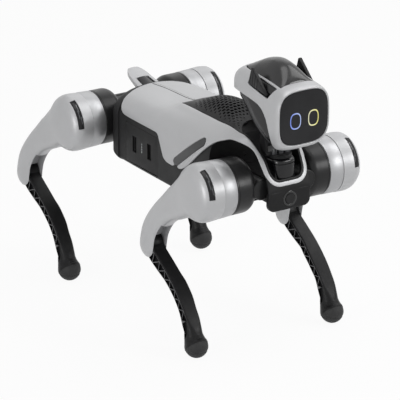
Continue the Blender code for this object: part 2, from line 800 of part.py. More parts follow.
def build_plates():
    front = FRONT_X + CORE_REACH + GAP
    chest = prism("chest_panel", plate_outline(HIP_Z + PLATE_TOP, HIP_Z + PLATE_BOTTOM), front,
                  front + PLATE_THICKNESS, "X")
    rounded(chest, 0.0022, 1)
    chest = baked(chest)
    face = front + PLATE_THICKNESS
    z = HIP_Z - BUTTON_DROP
    cut(chest, rod("bezel_seat", BEZEL_RADIUS + GAP, (face - BEZEL_HEIGHT, 0, z), (face + 0.01, 0, z)))
    piece("chest_panel", baked(chest), BLACK)
    bore = BUTTON_RADIUS + SLIDE_GAP
    lip = BEZEL_HEIGHT + 0.0006
    profile = [(0.0, bore), (0.0, BEZEL_RADIUS), (BEZEL_HEIGHT, BEZEL_RADIUS), (lip, BEZEL_RADIUS - 0.001),
               (lip, bore + 0.001), (BEZEL_HEIGHT, bore), (0.0, bore)]
    bezel = turned("button_bezel", profile, "X", 14)
    seat = face - BEZEL_HEIGHT + GAP
    piece("button_bezel", baked(bezel, Matrix.Translation((seat, 0, z))), GRAPHITE)
    button_axis = axis_empty("button_axis", ROOT, (seat + BUTTON_TRAVEL + GAP, 0, z))
    height = BUTTON_HEIGHT - BUTTON_TRAVEL
    profile = [(0.0, 0.0), (0.0, BUTTON_RADIUS), (height - 0.0008, BUTTON_RADIUS),
               (height, BUTTON_RADIUS - 0.001), (height, 0.0)]
    piece("chest_button", turned("chest_button", profile, "X", 14), BLACK, button_axis)
    rear = REAR_X - CORE_REACH - GAP
    plate = prism("rear_panel", plate_outline(HIP_Z + REAR_PLATE_TOP, HIP_Z + PLATE_BOTTOM),
                  rear - PLATE_THICKNESS, rear, "X")
    piece("rear_panel", baked(rounded(plate, 0.0022, 1)), BLACK)


# Battery with its two pinch latches

def latch_place(sign):
    side = between(SKIN, REAR_X + BATTERY_MID)[1] - SHELL_WALL - SHELL_SEAT
    return REAR_X + BATTERY_MID + sign * LATCH_SPACING / 2, -side, HIP_Z + BATTERY_MID_Z + 0.001


def build_battery():
    axis = axis_empty("battery_axis", ROOT, (REAR_X + BATTERY_MID, 0, HIP_Z + BATTERY_MID_Z))
    pack = battery_box("battery_pack", 0.0)
    rounded(pack, 0.0016, 1)
    pack = baked(pack)
    width, tall, deep = LATCH_SLOT
    for sign in (-1, 1):
        x, y, z = latch_place(sign)
        low = (x - width / 2, y - 0.01, z - tall / 2)
        high = (x + width / 2, y + deep, z + tall / 2)
        cut(pack, box("latch_slot", low, high))
    pack = baked(pack)
    place_under(pack, axis)
    piece("battery_pack", pack, BLACK, axis)
    for sign, label in ((-1, "rear"), (1, "front")):
        x, y, z = latch_place(sign)
        wide, reach, thick = LATCH_PAD
        outer = x + sign * (width / 2 - GAP)
        inner = outer - sign * wide
        low = (min(outer, inner), y + deep - GAP - thick, z - reach / 2)
        top = (max(outer, inner), y + deep - GAP, z + reach / 2)
        latch = rounded(box(f"{label}_battery_latch", low, top), 0.0010, 1)
        latch = baked(latch)
        latch_axis = axis_empty(f"{label}_latch_axis", axis, Vector((x, y, z)) - axis.location)
        place_under(latch, latch_axis)
        piece(f"{label}_battery_latch", latch, GRAPHITE, latch_axis)


def place_under(made, empty):
    """Moves mesh points given in the trunk's frame into the frame of an empty."""
    offset = Vector((0, 0, 0))
    while empty is not None and empty is not ROOT:
        offset += empty.location
        empty = empty.parent
    made.data.transform(Matrix.Translation(-offset))


# Tail fin

def tail_section(share, thickness, lift=0.0, shrink=0.0):
    """One cross section of the tail, from its root to its tip."""
    x = REAR_X + TAIL_BACK - share * TAIL_LENGTH
    half = (TAIL_ROOT_WIDTH + (TAIL_TIP_WIDTH - TAIL_ROOT_WIDTH) * share) / 2 - shrink
    half -= 0.007 * max((share - 0.6) / 0.4, 0.0) ** 3
    top = HIP_Z + TAIL_TOP - 0.006 + TAIL_RISE * max(share, 0.0) ** 1.2 + lift
    crown = 0.0035 * (1 - share) + 0.001
    points = []
    for i in range(9):
        v = 1 - i / 4
        points.append((x, half * v, top + crown * (1 - v * v)))
    return points + [(x, half * v, top + crown * (1 - v * v) - thickness) for v in (-1, -0.5, 0, 0.5, 1)]


def tail_shape(name, clearance=0.0):
    """The tail with its tongue. The clearance widens it into the cutter of its slot."""
    tongue = -TAIL_TONGUE / TAIL_LENGTH
    reach = tongue - (GAP / TAIL_LENGTH if clearance else 0.0)
    shares = (reach, 0.0, 0.25, 0.5, 0.75, 0.93, 1.0)
    if clearance:
        shares = (reach, 0.0, 0.25, 0.5)
    rings = []
    for share in shares:
        thin = TAIL_THICKNESS * (1 - 0.45 * max(share, 0.0)) * (0.55 if share == 1.0 else 1.0)
        rings.append(tail_section(share, thin + 2 * clearance, clearance, -clearance))
    return loft(name, rings)


def tail_slot():
    return tail_shape("tail_slot", GAP)


def inlay_shape(name, from_share, to_share, depth, thickness, shrink):
    """A strip of even width and crown that follows the rise of the tail."""
    middle = tail_section(TAIL_INLAY_MIDDLE, thickness, -depth, shrink)
    keys = tail_section(TAIL_INLAY_MIDDLE, thickness)[0]
    rings = []
    for i in range(4):
        share = from_share + (to_share - from_share) * i / 3
        place = tail_section(share, thickness)[0]
        rise = TAIL_RISE * (share ** 1.2 - TAIL_INLAY_MIDDLE ** 1.2)
        rings.append([(x + place[0] - keys[0], y, z + rise) for x, y, z in middle])
    return loft(name, rings)


def build_tail():
    tail = tail_shape("tail_fin")
    recess = inlay_shape("inlay_recess", 0.06, 0.50, -0.002, 0.0050, 0.0082)
    piece("tail_fin", baked(cut(tail, recess)), SILVER)
    inlay = inlay_shape("tail_inlay", 0.068, 0.492, 0.0006, 0.0021, 0.0087)
    piece("tail_inlay", inlay, GLASS)


# Neck and head

def build_neck():
    x = FRONT_X - YAW_BACK
    floor = HIP_Z + CORE_TOP + GAP
    length, width, height = NECK_BASE
    low = (x - length / 2, -width / 2, floor)
    base = box("neck_base", low, (x + length / 2, width / 2, floor + height))
    piece("neck_base", baked(rounded(base, NECK_ROUND, 2)), BLACK)
    yaw = axis_empty("head_yaw_axis", ROOT, (x, 0, floor + height + GAP))
    pitch_z = HIP_Z + PITCH_Z - yaw.location.z
    pitch_x = FRONT_X + PITCH_X - x
    yoke = rod("neck_yoke", TURNTABLE_RADIUS, (0, 0, 0), (0, 0, TURNTABLE_HEIGHT))
    bridge_top = TURNTABLE_HEIGHT + 0.006
    half = YOKE_HALF_WIDTH
    joined(yoke, box("bridge", (pitch_x - YOKE_RADIUS - 0.001, 0.0006 - half, TURNTABLE_HEIGHT - 0.001),
                     (pitch_x + YOKE_RADIUS + 0.005, half - 0.0006, bridge_top)))
    for side, label in SIDES:
        low, high = sorted((side * (half - YOKE_CHEEK), side * half))
        foot = bridge_top - 0.004
        outline = [(pitch_x - YOKE_RADIUS, foot), (pitch_x + YOKE_RADIUS + 0.004, foot)]
        for i in range(9):
            angle = math.pi * i / 8
            rise = YOKE_RADIUS * math.sin(angle)
            outline.append((pitch_x + YOKE_RADIUS * math.cos(angle), pitch_z + rise))
        joined(yoke, prism(label + "_cheek", outline, low, high))
    yoke = baked(yoke)
    left_end = Vector((pitch_x, half, pitch_z))
    right_end = Vector((pitch_x, -half, pitch_z))
    past = Vector((0, 0.01, 0))
    cut(yoke, rod("pin_bore", PITCH_PIN_RADIUS + GAP, right_end - past, left_end + past, SMALL_STEPS))
    piece("neck_yoke", baked(yoke), GRAPHITE, yaw)
    pin = rod("pitch_axle", PITCH_PIN_RADIUS, right_end, left_end, SMALL_STEPS)
    piece("pitch_axle", pin, STEEL, yaw)
    return axis_empty("head_pitch_axis", yaw, (pitch_x, 0, pitch_z))


def head_section(station, inset=0.0, count=20):
    x, half, top, bottom, over, under = station
    middle = (top + bottom) / 2
    tall = (top - bottom) / 2 - inset
    half -= inset
    points = []
    for i in range(count):
        angle = 2 * math.pi * i / count
        power = 2.0 / (over if i <= count // 2 else under)
        points.append((x, half * signed_power(math.cos(angle), power),
                       middle + tall * signed_power(math.sin(angle), power)))
    return points


def head_top(x, y, inset=0.0):
    """Height of the head's skin over a point of the plan."""
    _, half, top, bottom, bend, _ = between(HEAD[::-1], x)
    tall = (top - bottom) / 2 - inset
    reach = min(abs(y) / (half - inset), 1.0)
    return (top + bottom) / 2 + tall * (1 - reach ** bend) ** (1 / bend)


def side_prism(name, outline, low, high):
    return prism(name, [(FRONT_X + x, HIP_Z + z) for x, z in outline], low, high)


def build_head_shell(axis):
    skin = loft("head_shell", [head_section(station) for station in HEAD], capped=False)
    shape = bmesh.new()
    shape.from_mesh(skin.data)
    bpy.data.objects.remove(skin, do_unlink=True)
    back = [edge for edge in shape.edges if edge.is_boundary and edge.verts[0].co.x < FRONT_X]
    bmesh.ops.contextual_create(shape, geom=back)
    shell = facing_out(from_bmesh("head_shell", shape))
    wall = shell.modifiers.new("Wall", "SOLIDIFY")
    wall.thickness = HEAD_WALL
    wall.offset = -1.0
    shell = baked(shell)
    cap_hole = prism("cap_hole", cap_outline(GAP), HIP_Z + 0.18, HIP_Z + 0.3, "Z")
    cut(shell, cap_hole, side_prism("cheek_cutter", CHEEK_EDGE, -0.08, 0.08))
    for side, label in SIDES:
        low, high = sorted((side * (CAP_HALF_WIDTH + 0.003), side * 0.08))
        cut(shell, side_prism(label + "_ear_window", EAR_WINDOW, low, high))
    shell = baked(shell)
    place_under(shell, axis)
    piece("head_shell", shell, SILVER, axis)


def cap_outline(margin):
    half = CAP_HALF_WIDTH + margin
    back = FRONT_X + CAP_BACK - margin
    front = FRONT_X + CAP_FRONT + margin
    left = [(front, half)]
    for i in range(7):
        angle = math.pi / 2 * i / 6
        left.append((back + 0.03 * (1 - math.sin(angle)), half - 0.012 * (1 - math.cos(angle))))
    return left + [(x, -y) for x, y in left[::-1]]


def build_cap(axis):
    steps = 7
    top_rings = []
    for i in range(steps + 1):
        share = i / steps
        x = FRONT_X + CAP_BACK + (CAP_FRONT - CAP_BACK) * share
        half = CAP_HALF_WIDTH - 0.012 * max(0.0, 1 - share * 4) ** 2
        rise = CAP_RISE * max(math.sin(math.pi * share ** 1.35), 0.0) ** 0.75
        upper = []
        lower = []
        for j in range(7):
            v = 1 - j / 3
            y = half * v
            upper.append((x, y, head_top(x, y) + rise * (1 - v * v) - 0.0002))
            lower.append((x, y, head_top(x, y, HEAD_WALL + SHELL_SEAT) + SHELL_SEAT + 3 * GAP))
        top_rings.append(upper + lower[::-1])
    cap = loft("head_cap", top_rings)
    place_under(cap, axis)
    piece("head_cap", cap, BLACK, axis)


def build_head(axis):
    build_head_shell(axis)
    build_cap(axis)
    seat = HEAD_WALL + SHELL_SEAT
    display_back = HEAD[0][0] - DISPLAY_THICKNESS + 0.002
    stations = [station for station in HEAD[1:-2] if station[0] < display_back - 0.002]
    rings = [head_section(between(HEAD[::-1], display_back - GAP), seat + 0.0012)]
    rings += [head_section(station, seat + 0.0004) for station in stations]
    for back, inset in ((0.0085, 0.0022), (0.0125, 0.0070)):
        rings.append(head_section(between(HEAD[::-1], HEAD[-3][0] - back), seat + inset))
    body = loft("head_core", rings)
    x = FRONT_X + PITCH_X
    z = HIP_Z + PITCH_Z
    room = YOKE_HALF_WIDTH + SLIDE_GAP
    ceiling = z + YOKE_RADIUS + 0.0015
    cut(body, box("yoke_channel", (x - YOKE_SWING, -room, HIP_Z), (x + YOKE_SWING, room, ceiling)))
    body = baked(body)
    reach = YOKE_HALF_WIDTH - YOKE_CHEEK - SLIDE_GAP
    joined(body, rod("barrel", BARREL_RADIUS, (x, -reach, z), (x, reach, z)))
    body = baked(body)
    for side, label in SIDES:
        low, high = sorted((side * (EAR_INNER_Y - GAP), side * 0.08))
        cut(body, side_prism(label + "_ear_seat", EAR_WINDOW, low, high))
    cut(body, rod("axle_bore", PITCH_PIN_RADIUS + GAP, (x, -0.05, z), (x, 0.05, z), SMALL_STEPS))
    body = baked(body)
    place_under(body, axis)
    piece("head_core", body, BLACK, axis)
    front = HEAD[0]
    inset = HEAD_WALL + GAP
    face = head_section(front, inset)
    rings = [[(display_back, y, z) for _, y, z in face], [(front[0] + 0.0004, y, z) for _, y, z in face]]
    middle = (front[2] + front[3]) / 2
    for share in (0.8, 0.45):
        x = front[0] + 0.0004 + DISPLAY_DOME * (1 - share * share)
        rings.append([(x, y * share, middle + (z - middle) * share) for _, y, z in face])
    display = loft("display", rings)
    place_under(display, axis)
    piece("display", display, GLASS, axis)
    for side, label in SIDES:
        low, high = sorted((side * EAR_INNER_Y, side * (EAR_INNER_Y + EAR_THICKNESS)))
        ear = side_prism(f"{label}_ear", EAR_OUTLINE, low, high)
        ear = baked(rounded(ear, 0.0012, 1))
        place_under(ear, axis)
        piece(f"{label}_ear", ear, GRAPHITE, axis)


# Legs: thigh frame, U runs from hip to knee and V up and back, Y outward from the leg plane

THIGH_U = Vector((-math.sin(THIGH_LEAN), 0, -math.cos(THIGH_LEAN)))
THIGH_V = Vector((-math.cos(THIGH_LEAN), 0, math.sin(THIGH_LEAN)))
SHANK_S = Vector((math.sin(SHANK_LEAN), 0, -math.cos(SHANK_LEAN)))
SHANK_T = Vector((math.cos(SHANK_LEAN), 0, math.sin(SHANK_LEAN)))

# Arm centre line: share of the thigh length, offset along V, half depth
ARM_LINE = (
    (0.00, 0.008, 0.044),
    (0.21, 0.0125, 0.0395),
    (0.35, 0.0170, 0.0325),
    (0.47, 0.0208, 0.0272),
    (0.61, 0.0232, 0.0240),
    (0.75, 0.0220, 0.0229),
    (0.87, 0.0165, 0.0230),
    (0.955, 0.0068, KNEE_RADIUS),
    (1.00, 0.0000, KNEE_RADIUS),
)

# Shank centre line: share of the shank length, offset along T, half depth, half width
SHANK_LINE = (
    (0.00, 0.0000, SHANK_HEAD_RADIUS, SHANK_HALF_WIDTH),
    (0.10, 0.0010, 0.0148, SHANK_HALF_WIDTH),
    (0.235, 0.0090, 0.0122, SHANK_HALF_WIDTH),
    (0.375, 0.0180, 0.0098, SHANK_HALF_WIDTH),
    (0.515, 0.0222, 0.0088, SHANK_HALF_WIDTH),
    (0.635, 0.0224, 0.0088, SHANK_HALF_WIDTH),
    (0.750, 0.0185, 0.0104, SHANK_HALF_WIDTH),
    (0.865, 0.0100, 0.0130, 0.0148),
)

# Half of the strut's section: share of the half width, share of the half depth
STRUT_SECTION = ((1.0, 0.62), (0.90, 0.88), (0.62, 1.0))


def oval_section(count, exponent):
    """A rounded section as shares of the half width and the half depth."""
    angles = [2 * math.pi * i / count for i in range(count)]
    return [(signed_power(math.cos(angle), 2 / exponent), signed_power(math.sin(angle), 2 / exponent))
            for angle in angles]


def strut_section():
    """A section with flat sides and rounded edges, as shares of its half width and half depth."""
    corner = list(STRUT_SECTION)
    right = corner + [(-w, d) for w, d in corner[::-1]]
    return right + [(-w, -d) for w, d in corner] + [(w, -d) for w, d in corner[::-1]]


def tube_rings(line, u_axis, v_axis, section, square_end=False):
    """Sections square to a centre line given as (along, offset, half depth, half width)."""
    rings = []
    for i, (along, offset, depth, width) in enumerate(line):
        before = line[max(i - 1, 0)]
        after = line[min(i + 1, len(line) - 1)]
        run = Vector((after[0] - before[0], after[1] - before[1])).normalized()
        if square_end:
            left = min((len(line) - 1 - i) / 3, 1.0)
            run = Vector((run.x, run.y * left)).normalized()
        centre = u_axis * along + v_axis * offset
        across = v_axis * run.x - u_axis * run.y
        rings.append([centre + across * depth * v + Vector((0, width * w, 0)) for w, v in section])
    return rings


def arm_shape():
    line = [(share * THIGH_LENGTH, offset, depth, ARM_HALF_WIDTH) for share, offset, depth in ARM_LINE]
    line = eased(line, 10)
    end = line[-1]
    run = Vector((end[0] - line[-2][0], end[1] - line[-2][1])).normalized()
    for angle in (30, 56, 78):
        reach = KNEE_RADIUS * math.sin(math.radians(angle))
        shrink = math.cos(math.radians(angle))
        line.append((end[0] + run.x * reach, end[1] + run.y * reach, KNEE_RADIUS * shrink,
                     ARM_HALF_WIDTH * (0.45 + 0.55 * shrink)))
    return loft("arm", tube_rings(line, THIGH_U, THIGH_V, oval_section(12, 2.7)))


def fan_outline(from_angle, to_angle, radius, reach):
    """A fan in the U V plane round the knee. Angles run from straight down V towards +U."""
    knee = THIGH_U * THIGH_LENGTH
    points = []
    for i in range(9):
        angle = from_angle + (to_angle - from_angle) * i / 8
        points.append(knee + reach * (THIGH_U * math.sin(angle) - THIGH_V * math.cos(angle)))
    for i in range(9):
        angle = to_angle + (2 * math.pi - to_angle + from_angle) * i / 8
        points.append(knee + radius * (THIGH_U * math.sin(angle) - THIGH_V * math.cos(angle)))
    return [(point.x, point.z) for point in points]


def sector_outline(inner, outer, from_angle, to_angle, steps=6):
    points = []
    for radius, first, second in ((outer, from_angle, to_angle), (inner, to_angle, from_angle)):
        for i in range(steps + 1):
            angle = first + (second - first) * i / steps
            points.append((radius * math.cos(angle), radius * math.sin(angle)))
    return points


def thigh_mesh():
    inner = RING_INNER_Y + RING_WIDTH + GAP - LEG_PLANE_Y
    outer = THIGH_OUTER_Y - LEG_PLANE_Y
    r = THIGH_DRUM_RADIUS
    profile = [(inner, 0.0), (inner, r - 0.0016), (-0.004, r), (0.006, r - 0.0005),
               (outer - 0.0105, r - 0.0042), (outer - 0.0055, r - 0.0095), (outer - 0.0020, r - 0.018),
               (outer - 0.0003, r - 0.029), (outer, 0.0)]
    thigh = turned("thigh", profile, "Y", DRUM_STEPS)
    joined(thigh, arm_shape())
    thigh = baked(thigh)
    slot = SHANK_HALF_WIDTH + SLIDE_GAP
    fan = fan_outline(-KNEE_FLEX - 0.93, KNEE_STRETCH + 0.86, FORK_RADIUS, 0.075)
    knee = THIGH_U * THIGH_LENGTH
    reach = Vector((0, KNEE_PIN_HALF + GAP, 0))
    sector = sector_outline(r - SLOT_WINDOW_DEPTH, r + 0.01, SLOT_WINDOW_FROM, SLOT_WINDOW_TO)
    cut(thigh, prism("fork_slot", fan, -slot, slot),
        rod("pin_bore", KNEE_PIN_RADIUS + GAP, knee - reach, knee + reach, SMALL_STEPS),
        prism("window_recess", sector, SLOT_WINDOW_Y, SLOT_WINDOW_Y + SLOT_WINDOW_WIDTH))
    return baked(thigh)


def window_mesh():
    margin = GAP / THIGH_DRUM_RADIUS
    outline = sector_outline(THIGH_DRUM_RADIUS - SLOT_WINDOW_DEPTH + GAP, THIGH_DRUM_RADIUS - 0.0006,
                             SLOT_WINDOW_FROM + margin, SLOT_WINDOW_TO - margin)
    return prism("window", outline, SLOT_WINDOW_Y + GAP, SLOT_WINDOW_Y + SLOT_WINDOW_WIDTH - GAP)


def ring_mesh():
    low = RING_INNER_Y - LEG_PLANE_Y
    high = low + RING_WIDTH
    bore = (HUB_RADIUS + GAP) / math.cos(math.pi / DRUM_STEPS)
    profile = [(low, bore), (low, RING_RADIUS - 0.0006), (high, RING_RADIUS + 0.0004), (high, bore),
               (low, bore)]
    return turned("ring", profile, "Y", DRUM_STEPS)


def hip_link_mesh():
    inner = DRUM_INNER_Y - ABDUCTION_Y
    outer = RING_INNER_Y - GAP - ABDUCTION_Y
    hub = RING_INNER_Y + RING_WIDTH - ABDUCTION_Y
    profile = [(inner, 0.0)]
    for i in range(3):
        angle = math.pi / 2 * i / 2
        drop = DRUM_ROUND * (1 - math.sin(angle))
        profile.append((inner + DRUM_ROUND * (1 - math.cos(angle)), DRUM_RADIUS - drop))
    profile += [(outer, DRUM_RADIUS), (outer, HUB_RADIUS), (hub, HUB_RADIUS), (hub, 0.0)]
    link = turned("hip_link", profile, "Y", DRUM_STEPS)
    reach = Vector((PIVOT_HALF_LENGTH, 0, 0))
    return baked(joined(link, rod("pivot", PIVOT_RADIUS, -reach, reach)))


def shank_line():
    line = [(share * SHANK_LENGTH, offset, depth, width) for share, offset, depth, width in SHANK_LINE]
    end = SHANK_LENGTH - ANKLE_OFFSET - GAP
    ankle = math.sqrt(FOOT_RADIUS ** 2 - ANKLE_OFFSET ** 2)
    middle = (line[-1][0] + end) / 2
    waist = (middle, 0.0050, ankle - 0.0016, ankle - 0.0012)
    return line + [waist, (end, 0.0010, ankle - 0.0006, ankle - 0.0006)]


def truss_prism(name, points, side):
    low, high = sorted((side * (SHANK_HALF_WIDTH - TRUSS_DEPTH), side * 0.03))
    return prism(name, [(p.x, p.z) for p in points], low, high)


def shank_point(line, along, share):
    """A point of the side face: share -1 on the back edge, 1 on the front edge."""
    _, offset, depth, _ = between(line, along)
    return SHANK_S * along + SHANK_T * (offset + share * (depth - TRUSS_BAR))


def inset_triangle(points, bar):
    """A triangle moved in by half a bar on each side."""
    sides = [(points[(i + 1) % 3] - points[(i + 2) % 3]).length for i in range(3)]
    half = sum(sides) / 2
    area = math.sqrt(half * math.prod(half - side for side in sides))
    inner = sum((point * side for point, side in zip(points, sides)), Vector()) / sum(sides)
    keep = max(1 - bar * half / area, 0.15)
    return [inner + (point - inner) * keep for point in points]


def shank_mesh():
    line = shank_line()
    rings = tube_rings(eased(line, 11), SHANK_S, SHANK_T, strut_section(), square_end=True)
    shank = loft("shank", rings)
    flank = SHANK_HALF_WIDTH - GAP
    head = rod("head", SHANK_HEAD_RADIUS, (0, -flank, 0), (0, flank, 0))
    shank = baked(joined(shank, head))
    first, last = 0.12 * SHANK_LENGTH, 0.72 * SHANK_LENGTH
    pitch = (last - first) / TRUSS_BAYS
    for side in (-1, 1):
        for bay in range(TRUSS_BAYS):
            start = first + bay * pitch
            for share in (-1, 1):
                from_s = start + (0.0 if share < 0 else pitch / 2)
                corners = [shank_point(line, from_s, share), shank_point(line, from_s + pitch, share),
                           shank_point(line, from_s + pitch / 2, -share)]
                cut(shank, truss_prism("truss", inset_triangle(corners, TRUSS_BAR / 2), side))
        pocket = [shank_point(line, place * SHANK_LENGTH, share) for place, share in ANKLE_POCKET]
        cut(shank, truss_prism("pocket", pocket, side))
    cut(shank, rod("pin_bore", KNEE_PIN_RADIUS + GAP, (0, -0.03, 0), (0, 0.03, 0), SMALL_STEPS))
    return baked(shank)


def foot_mesh():
    flat = -ANKLE_OFFSET
    profile = [(flat, 0.0)]
    start = math.acos(ANKLE_OFFSET / FOOT_RADIUS)
    for i in range(6):
        angle = start + (math.pi - start) * i / 5
        profile.append((-FOOT_RADIUS * math.cos(angle), FOOT_RADIUS * math.sin(angle)))
    profile[-1] = (FOOT_RADIUS, 0.0)
    foot = turned("foot", profile, "Z", 12)
    turn = (-SHANK_S).to_track_quat("Z", "Y").to_matrix().to_4x4() @ Matrix.Rotation(math.pi, 4, "X")
    return baked(foot, turn)


def knee_pin_mesh():
    return rod("knee_pin", KNEE_PIN_RADIUS, (0, -KNEE_PIN_HALF, 0), (0, KNEE_PIN_HALF, 0), SMALL_STEPS)


def build_legs():
    """Makes each leg piece once, then stands a copy of it on each leg's axes."""
    shapes = {
        "hip_link": (hip_link_mesh(), "hip", (0, 0, 0), GRAPHITE),
        "thigh_ring": (ring_mesh(), "thigh", (0, 0, 0), SILVER),
        "thigh_shell": (thigh_mesh(), "thigh", (0, 0, 0), SILVER),
        "thigh_window": (window_mesh(), "thigh", (0, 0, 0), GLASS),
        "knee_pin": (knee_pin_mesh(), "thigh", THIGH_U * THIGH_LENGTH, STEEL),
        "shank": (shank_mesh(), "knee", (0, 0, 0), GRAPHITE),
        "foot": (foot_mesh(), "knee", SHANK_S * SHANK_LENGTH, RUBBER),
    }
    for hip_x, end in ((FRONT_X, "front"), (REAR_X, "rear")):
        for side, label in SIDES:
            leg = f"{end}_{label}"
            axes = {"hip": axis_empty(f"{leg}_hip_axis", ROOT, (hip_x, side * ABDUCTION_Y, HIP_Z), side)}
            axes["thigh"] = axis_empty(f"{leg}_thigh_axis", axes["hip"], (0, LEG_PLANE_Y - ABDUCTION_Y, 0))
            axes["knee"] = axis_empty(f"{leg}_knee_axis", axes["thigh"], THIGH_U * THIGH_LENGTH)
            for name, (template, joint, place, finish) in shapes.items():
                copy = solid(f"{leg}_{name}", template.data.copy())
                copy.location = place
                piece(f"{leg}_{name}", copy, finish, axes[joint])
    for template, _, _, _ in shapes.values():
        bpy.data.objects.remove(template, do_unlink=True)


def centre_on_origin():
    """Moves the root so that the robot stands on z = 0, its length centred on the origin."""
    bpy.context.view_layer.update()
    points = [made.matrix_world @ vertex.co for made in ROBOT.objects if made.type == "MESH"
              for vertex in made.data.vertices]
    xs = [point.x for point in points]
    ROOT.location.x -= (min(xs) + max(xs)) / 2
    ROOT.location.z -= min(point.z for point in points)


SIDES = ((1, "left"), (-1, "right"))
clear_scene()
ROBOT = new_collection("robot_dog")
CUTTERS = new_collection("cutters")
ROOT = axis_empty("robot_dog_root", None, (0, 0, 0))
build_top_shell()
build_chassis()
build_motors()
build_inside()
build_grille()
build_neck_collar()
build_plates()
build_battery()
build_tail()
build_head(build_neck())
build_legs()
centre_on_origin()
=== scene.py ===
"""Looks of the quadruped robot dog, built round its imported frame.

Metres, in the frame's own axes: +X forward, +Y to the robot's left, +Z up. The hip axes are
read from the frame, and every other place is an offset from them. Leg pieces are made once,
in the frame of the joint that carries them, and copied to the four legs.
"""

import math

import bmesh
import bpy
import numpy as np
from mathutils import Matrix, Vector
from mathutils.bvhtree import BVHTree


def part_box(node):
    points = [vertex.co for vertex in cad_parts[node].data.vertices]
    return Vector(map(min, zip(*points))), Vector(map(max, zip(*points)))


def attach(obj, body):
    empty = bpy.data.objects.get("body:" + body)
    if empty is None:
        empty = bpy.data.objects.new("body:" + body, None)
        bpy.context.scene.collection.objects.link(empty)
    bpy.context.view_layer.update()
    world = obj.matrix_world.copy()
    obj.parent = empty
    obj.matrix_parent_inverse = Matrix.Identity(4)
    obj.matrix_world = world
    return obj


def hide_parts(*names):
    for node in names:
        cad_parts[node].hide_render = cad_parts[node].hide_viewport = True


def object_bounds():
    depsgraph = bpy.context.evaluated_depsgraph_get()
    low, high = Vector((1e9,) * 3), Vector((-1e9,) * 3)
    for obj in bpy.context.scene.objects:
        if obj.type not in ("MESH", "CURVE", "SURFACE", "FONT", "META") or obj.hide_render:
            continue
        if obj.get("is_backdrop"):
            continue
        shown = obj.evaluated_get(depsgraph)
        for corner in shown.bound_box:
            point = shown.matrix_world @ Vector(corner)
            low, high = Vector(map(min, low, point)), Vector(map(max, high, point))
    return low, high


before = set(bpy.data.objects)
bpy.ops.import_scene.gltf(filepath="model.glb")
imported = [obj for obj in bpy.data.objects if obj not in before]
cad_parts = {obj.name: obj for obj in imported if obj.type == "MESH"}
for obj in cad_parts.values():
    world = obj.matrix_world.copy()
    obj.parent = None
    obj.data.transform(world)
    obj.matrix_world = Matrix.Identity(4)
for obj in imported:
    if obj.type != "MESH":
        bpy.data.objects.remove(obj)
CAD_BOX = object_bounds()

SCENE = bpy.context.scene


def middle_of(node):
    low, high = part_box(node)
    return (Vector(low) + Vector(high)) / 2


FRONT_X = middle_of("front_left_thigh_ring").x
REAR_X = middle_of("rear_left_thigh_ring").x
HIP_Z = middle_of("front_left_thigh_ring").z
SIDES = ((1, "left"), (-1, "right"))

# Hips: place along X, name, way along X to the middle of the trunk
HIPS = ((FRONT_X, "front", -1), (REAR_X, "rear", 1))

# Fineness of curves and rolled edges
OVAL_SAMPLES = 720
SNAP_SHARE = 0.3
ROLL_ANGLES = (0.4, 0.8, 1.2, math.pi / 2)
FINE_ROLL = 0.0005

# Legs
LEG_PLANE_Y = 0.150
ABDUCTION_Y = 0.048
THIGH_LENGTH = 0.213
SHANK_LENGTH = 0.213
THIGH_LEAN = math.radians(47.0)
SHANK_LEAN = math.radians(43.6)
FOOT_RADIUS = 0.0217
GAP = 0.0003
SLIDE_GAP = 0.0005
DRUM_RADIUS = 0.052
DRUM_INNER_Y = 0.055
DRUM_ROUND = 0.018
PIVOT_RADIUS = 0.019
PIVOT_HALF_LENGTH = 0.051
HUB_RADIUS = 0.022
RING_INNER_Y = 0.1003
RING_WIDTH = 0.0282
RING_RADIUS = 0.0530
THIGH_DRUM_RADIUS = 0.0555
THIGH_OUTER_Y = 0.1742
ARM_HALF_WIDTH = 0.0208
KNEE_RADIUS = 0.0262
FORK_RADIUS = 0.0178
KNEE_PIN_RADIUS = 0.006
KNEE_PIN_HALF = 0.0180
SLOT_WIDTH = 0.0112
SLOT_Y = 0.0008
SLOT_DEPTH = 0.0035
SLOT_FROM = math.radians(4.0)
SLOT_TO = math.radians(68.0)
SHANK_HALF_WIDTH = 0.0140
SHANK_HEAD_RADIUS = 0.0165
TRUSS_DEPTH = 0.0040
TRUSS_BAR = 0.0015
TRUSS_BAYS = 7
ANKLE_POCKET = ((0.785, -0.95), (0.885, -0.85), (0.915, -0.3), (0.885, 0.40), (0.800, 0.75))
KNEE_FLEX = math.radians(58.0)
KNEE_STRETCH = math.radians(45.0)
FORK_REACH = 0.075
FORK_ROOM = (0.93, 0.86)
ARM_EXPONENT = 2.7
THIGH_VOXEL = 0.0017
BLEND_REACH = 0.032
BLEND_ROUNDS = 220
SMOOTH_ROUNDS = 24
SMOOTH_HOLD = 0.53
THIN_RATIO = 0.6
FLAT_ANGLE = math.radians(0.4)
TRUSS_SPAN = (0.07, 0.76)
BAR_SPAN = (0.05, 0.79)

# Thigh arm: share of the way to the knee, offset, half depth
ARM_LINE = (
    (0.00, 0.008, 0.044), (0.21, 0.0125, 0.0395), (0.35, 0.0170, 0.0325), (0.47, 0.0208, 0.0272),
    (0.61, 0.0228, 0.0244), (0.75, 0.0205, 0.0244), (0.87, 0.0140, 0.0255),
    (0.955, 0.0040, KNEE_RADIUS), (1.00, -0.0030, KNEE_RADIUS),
)

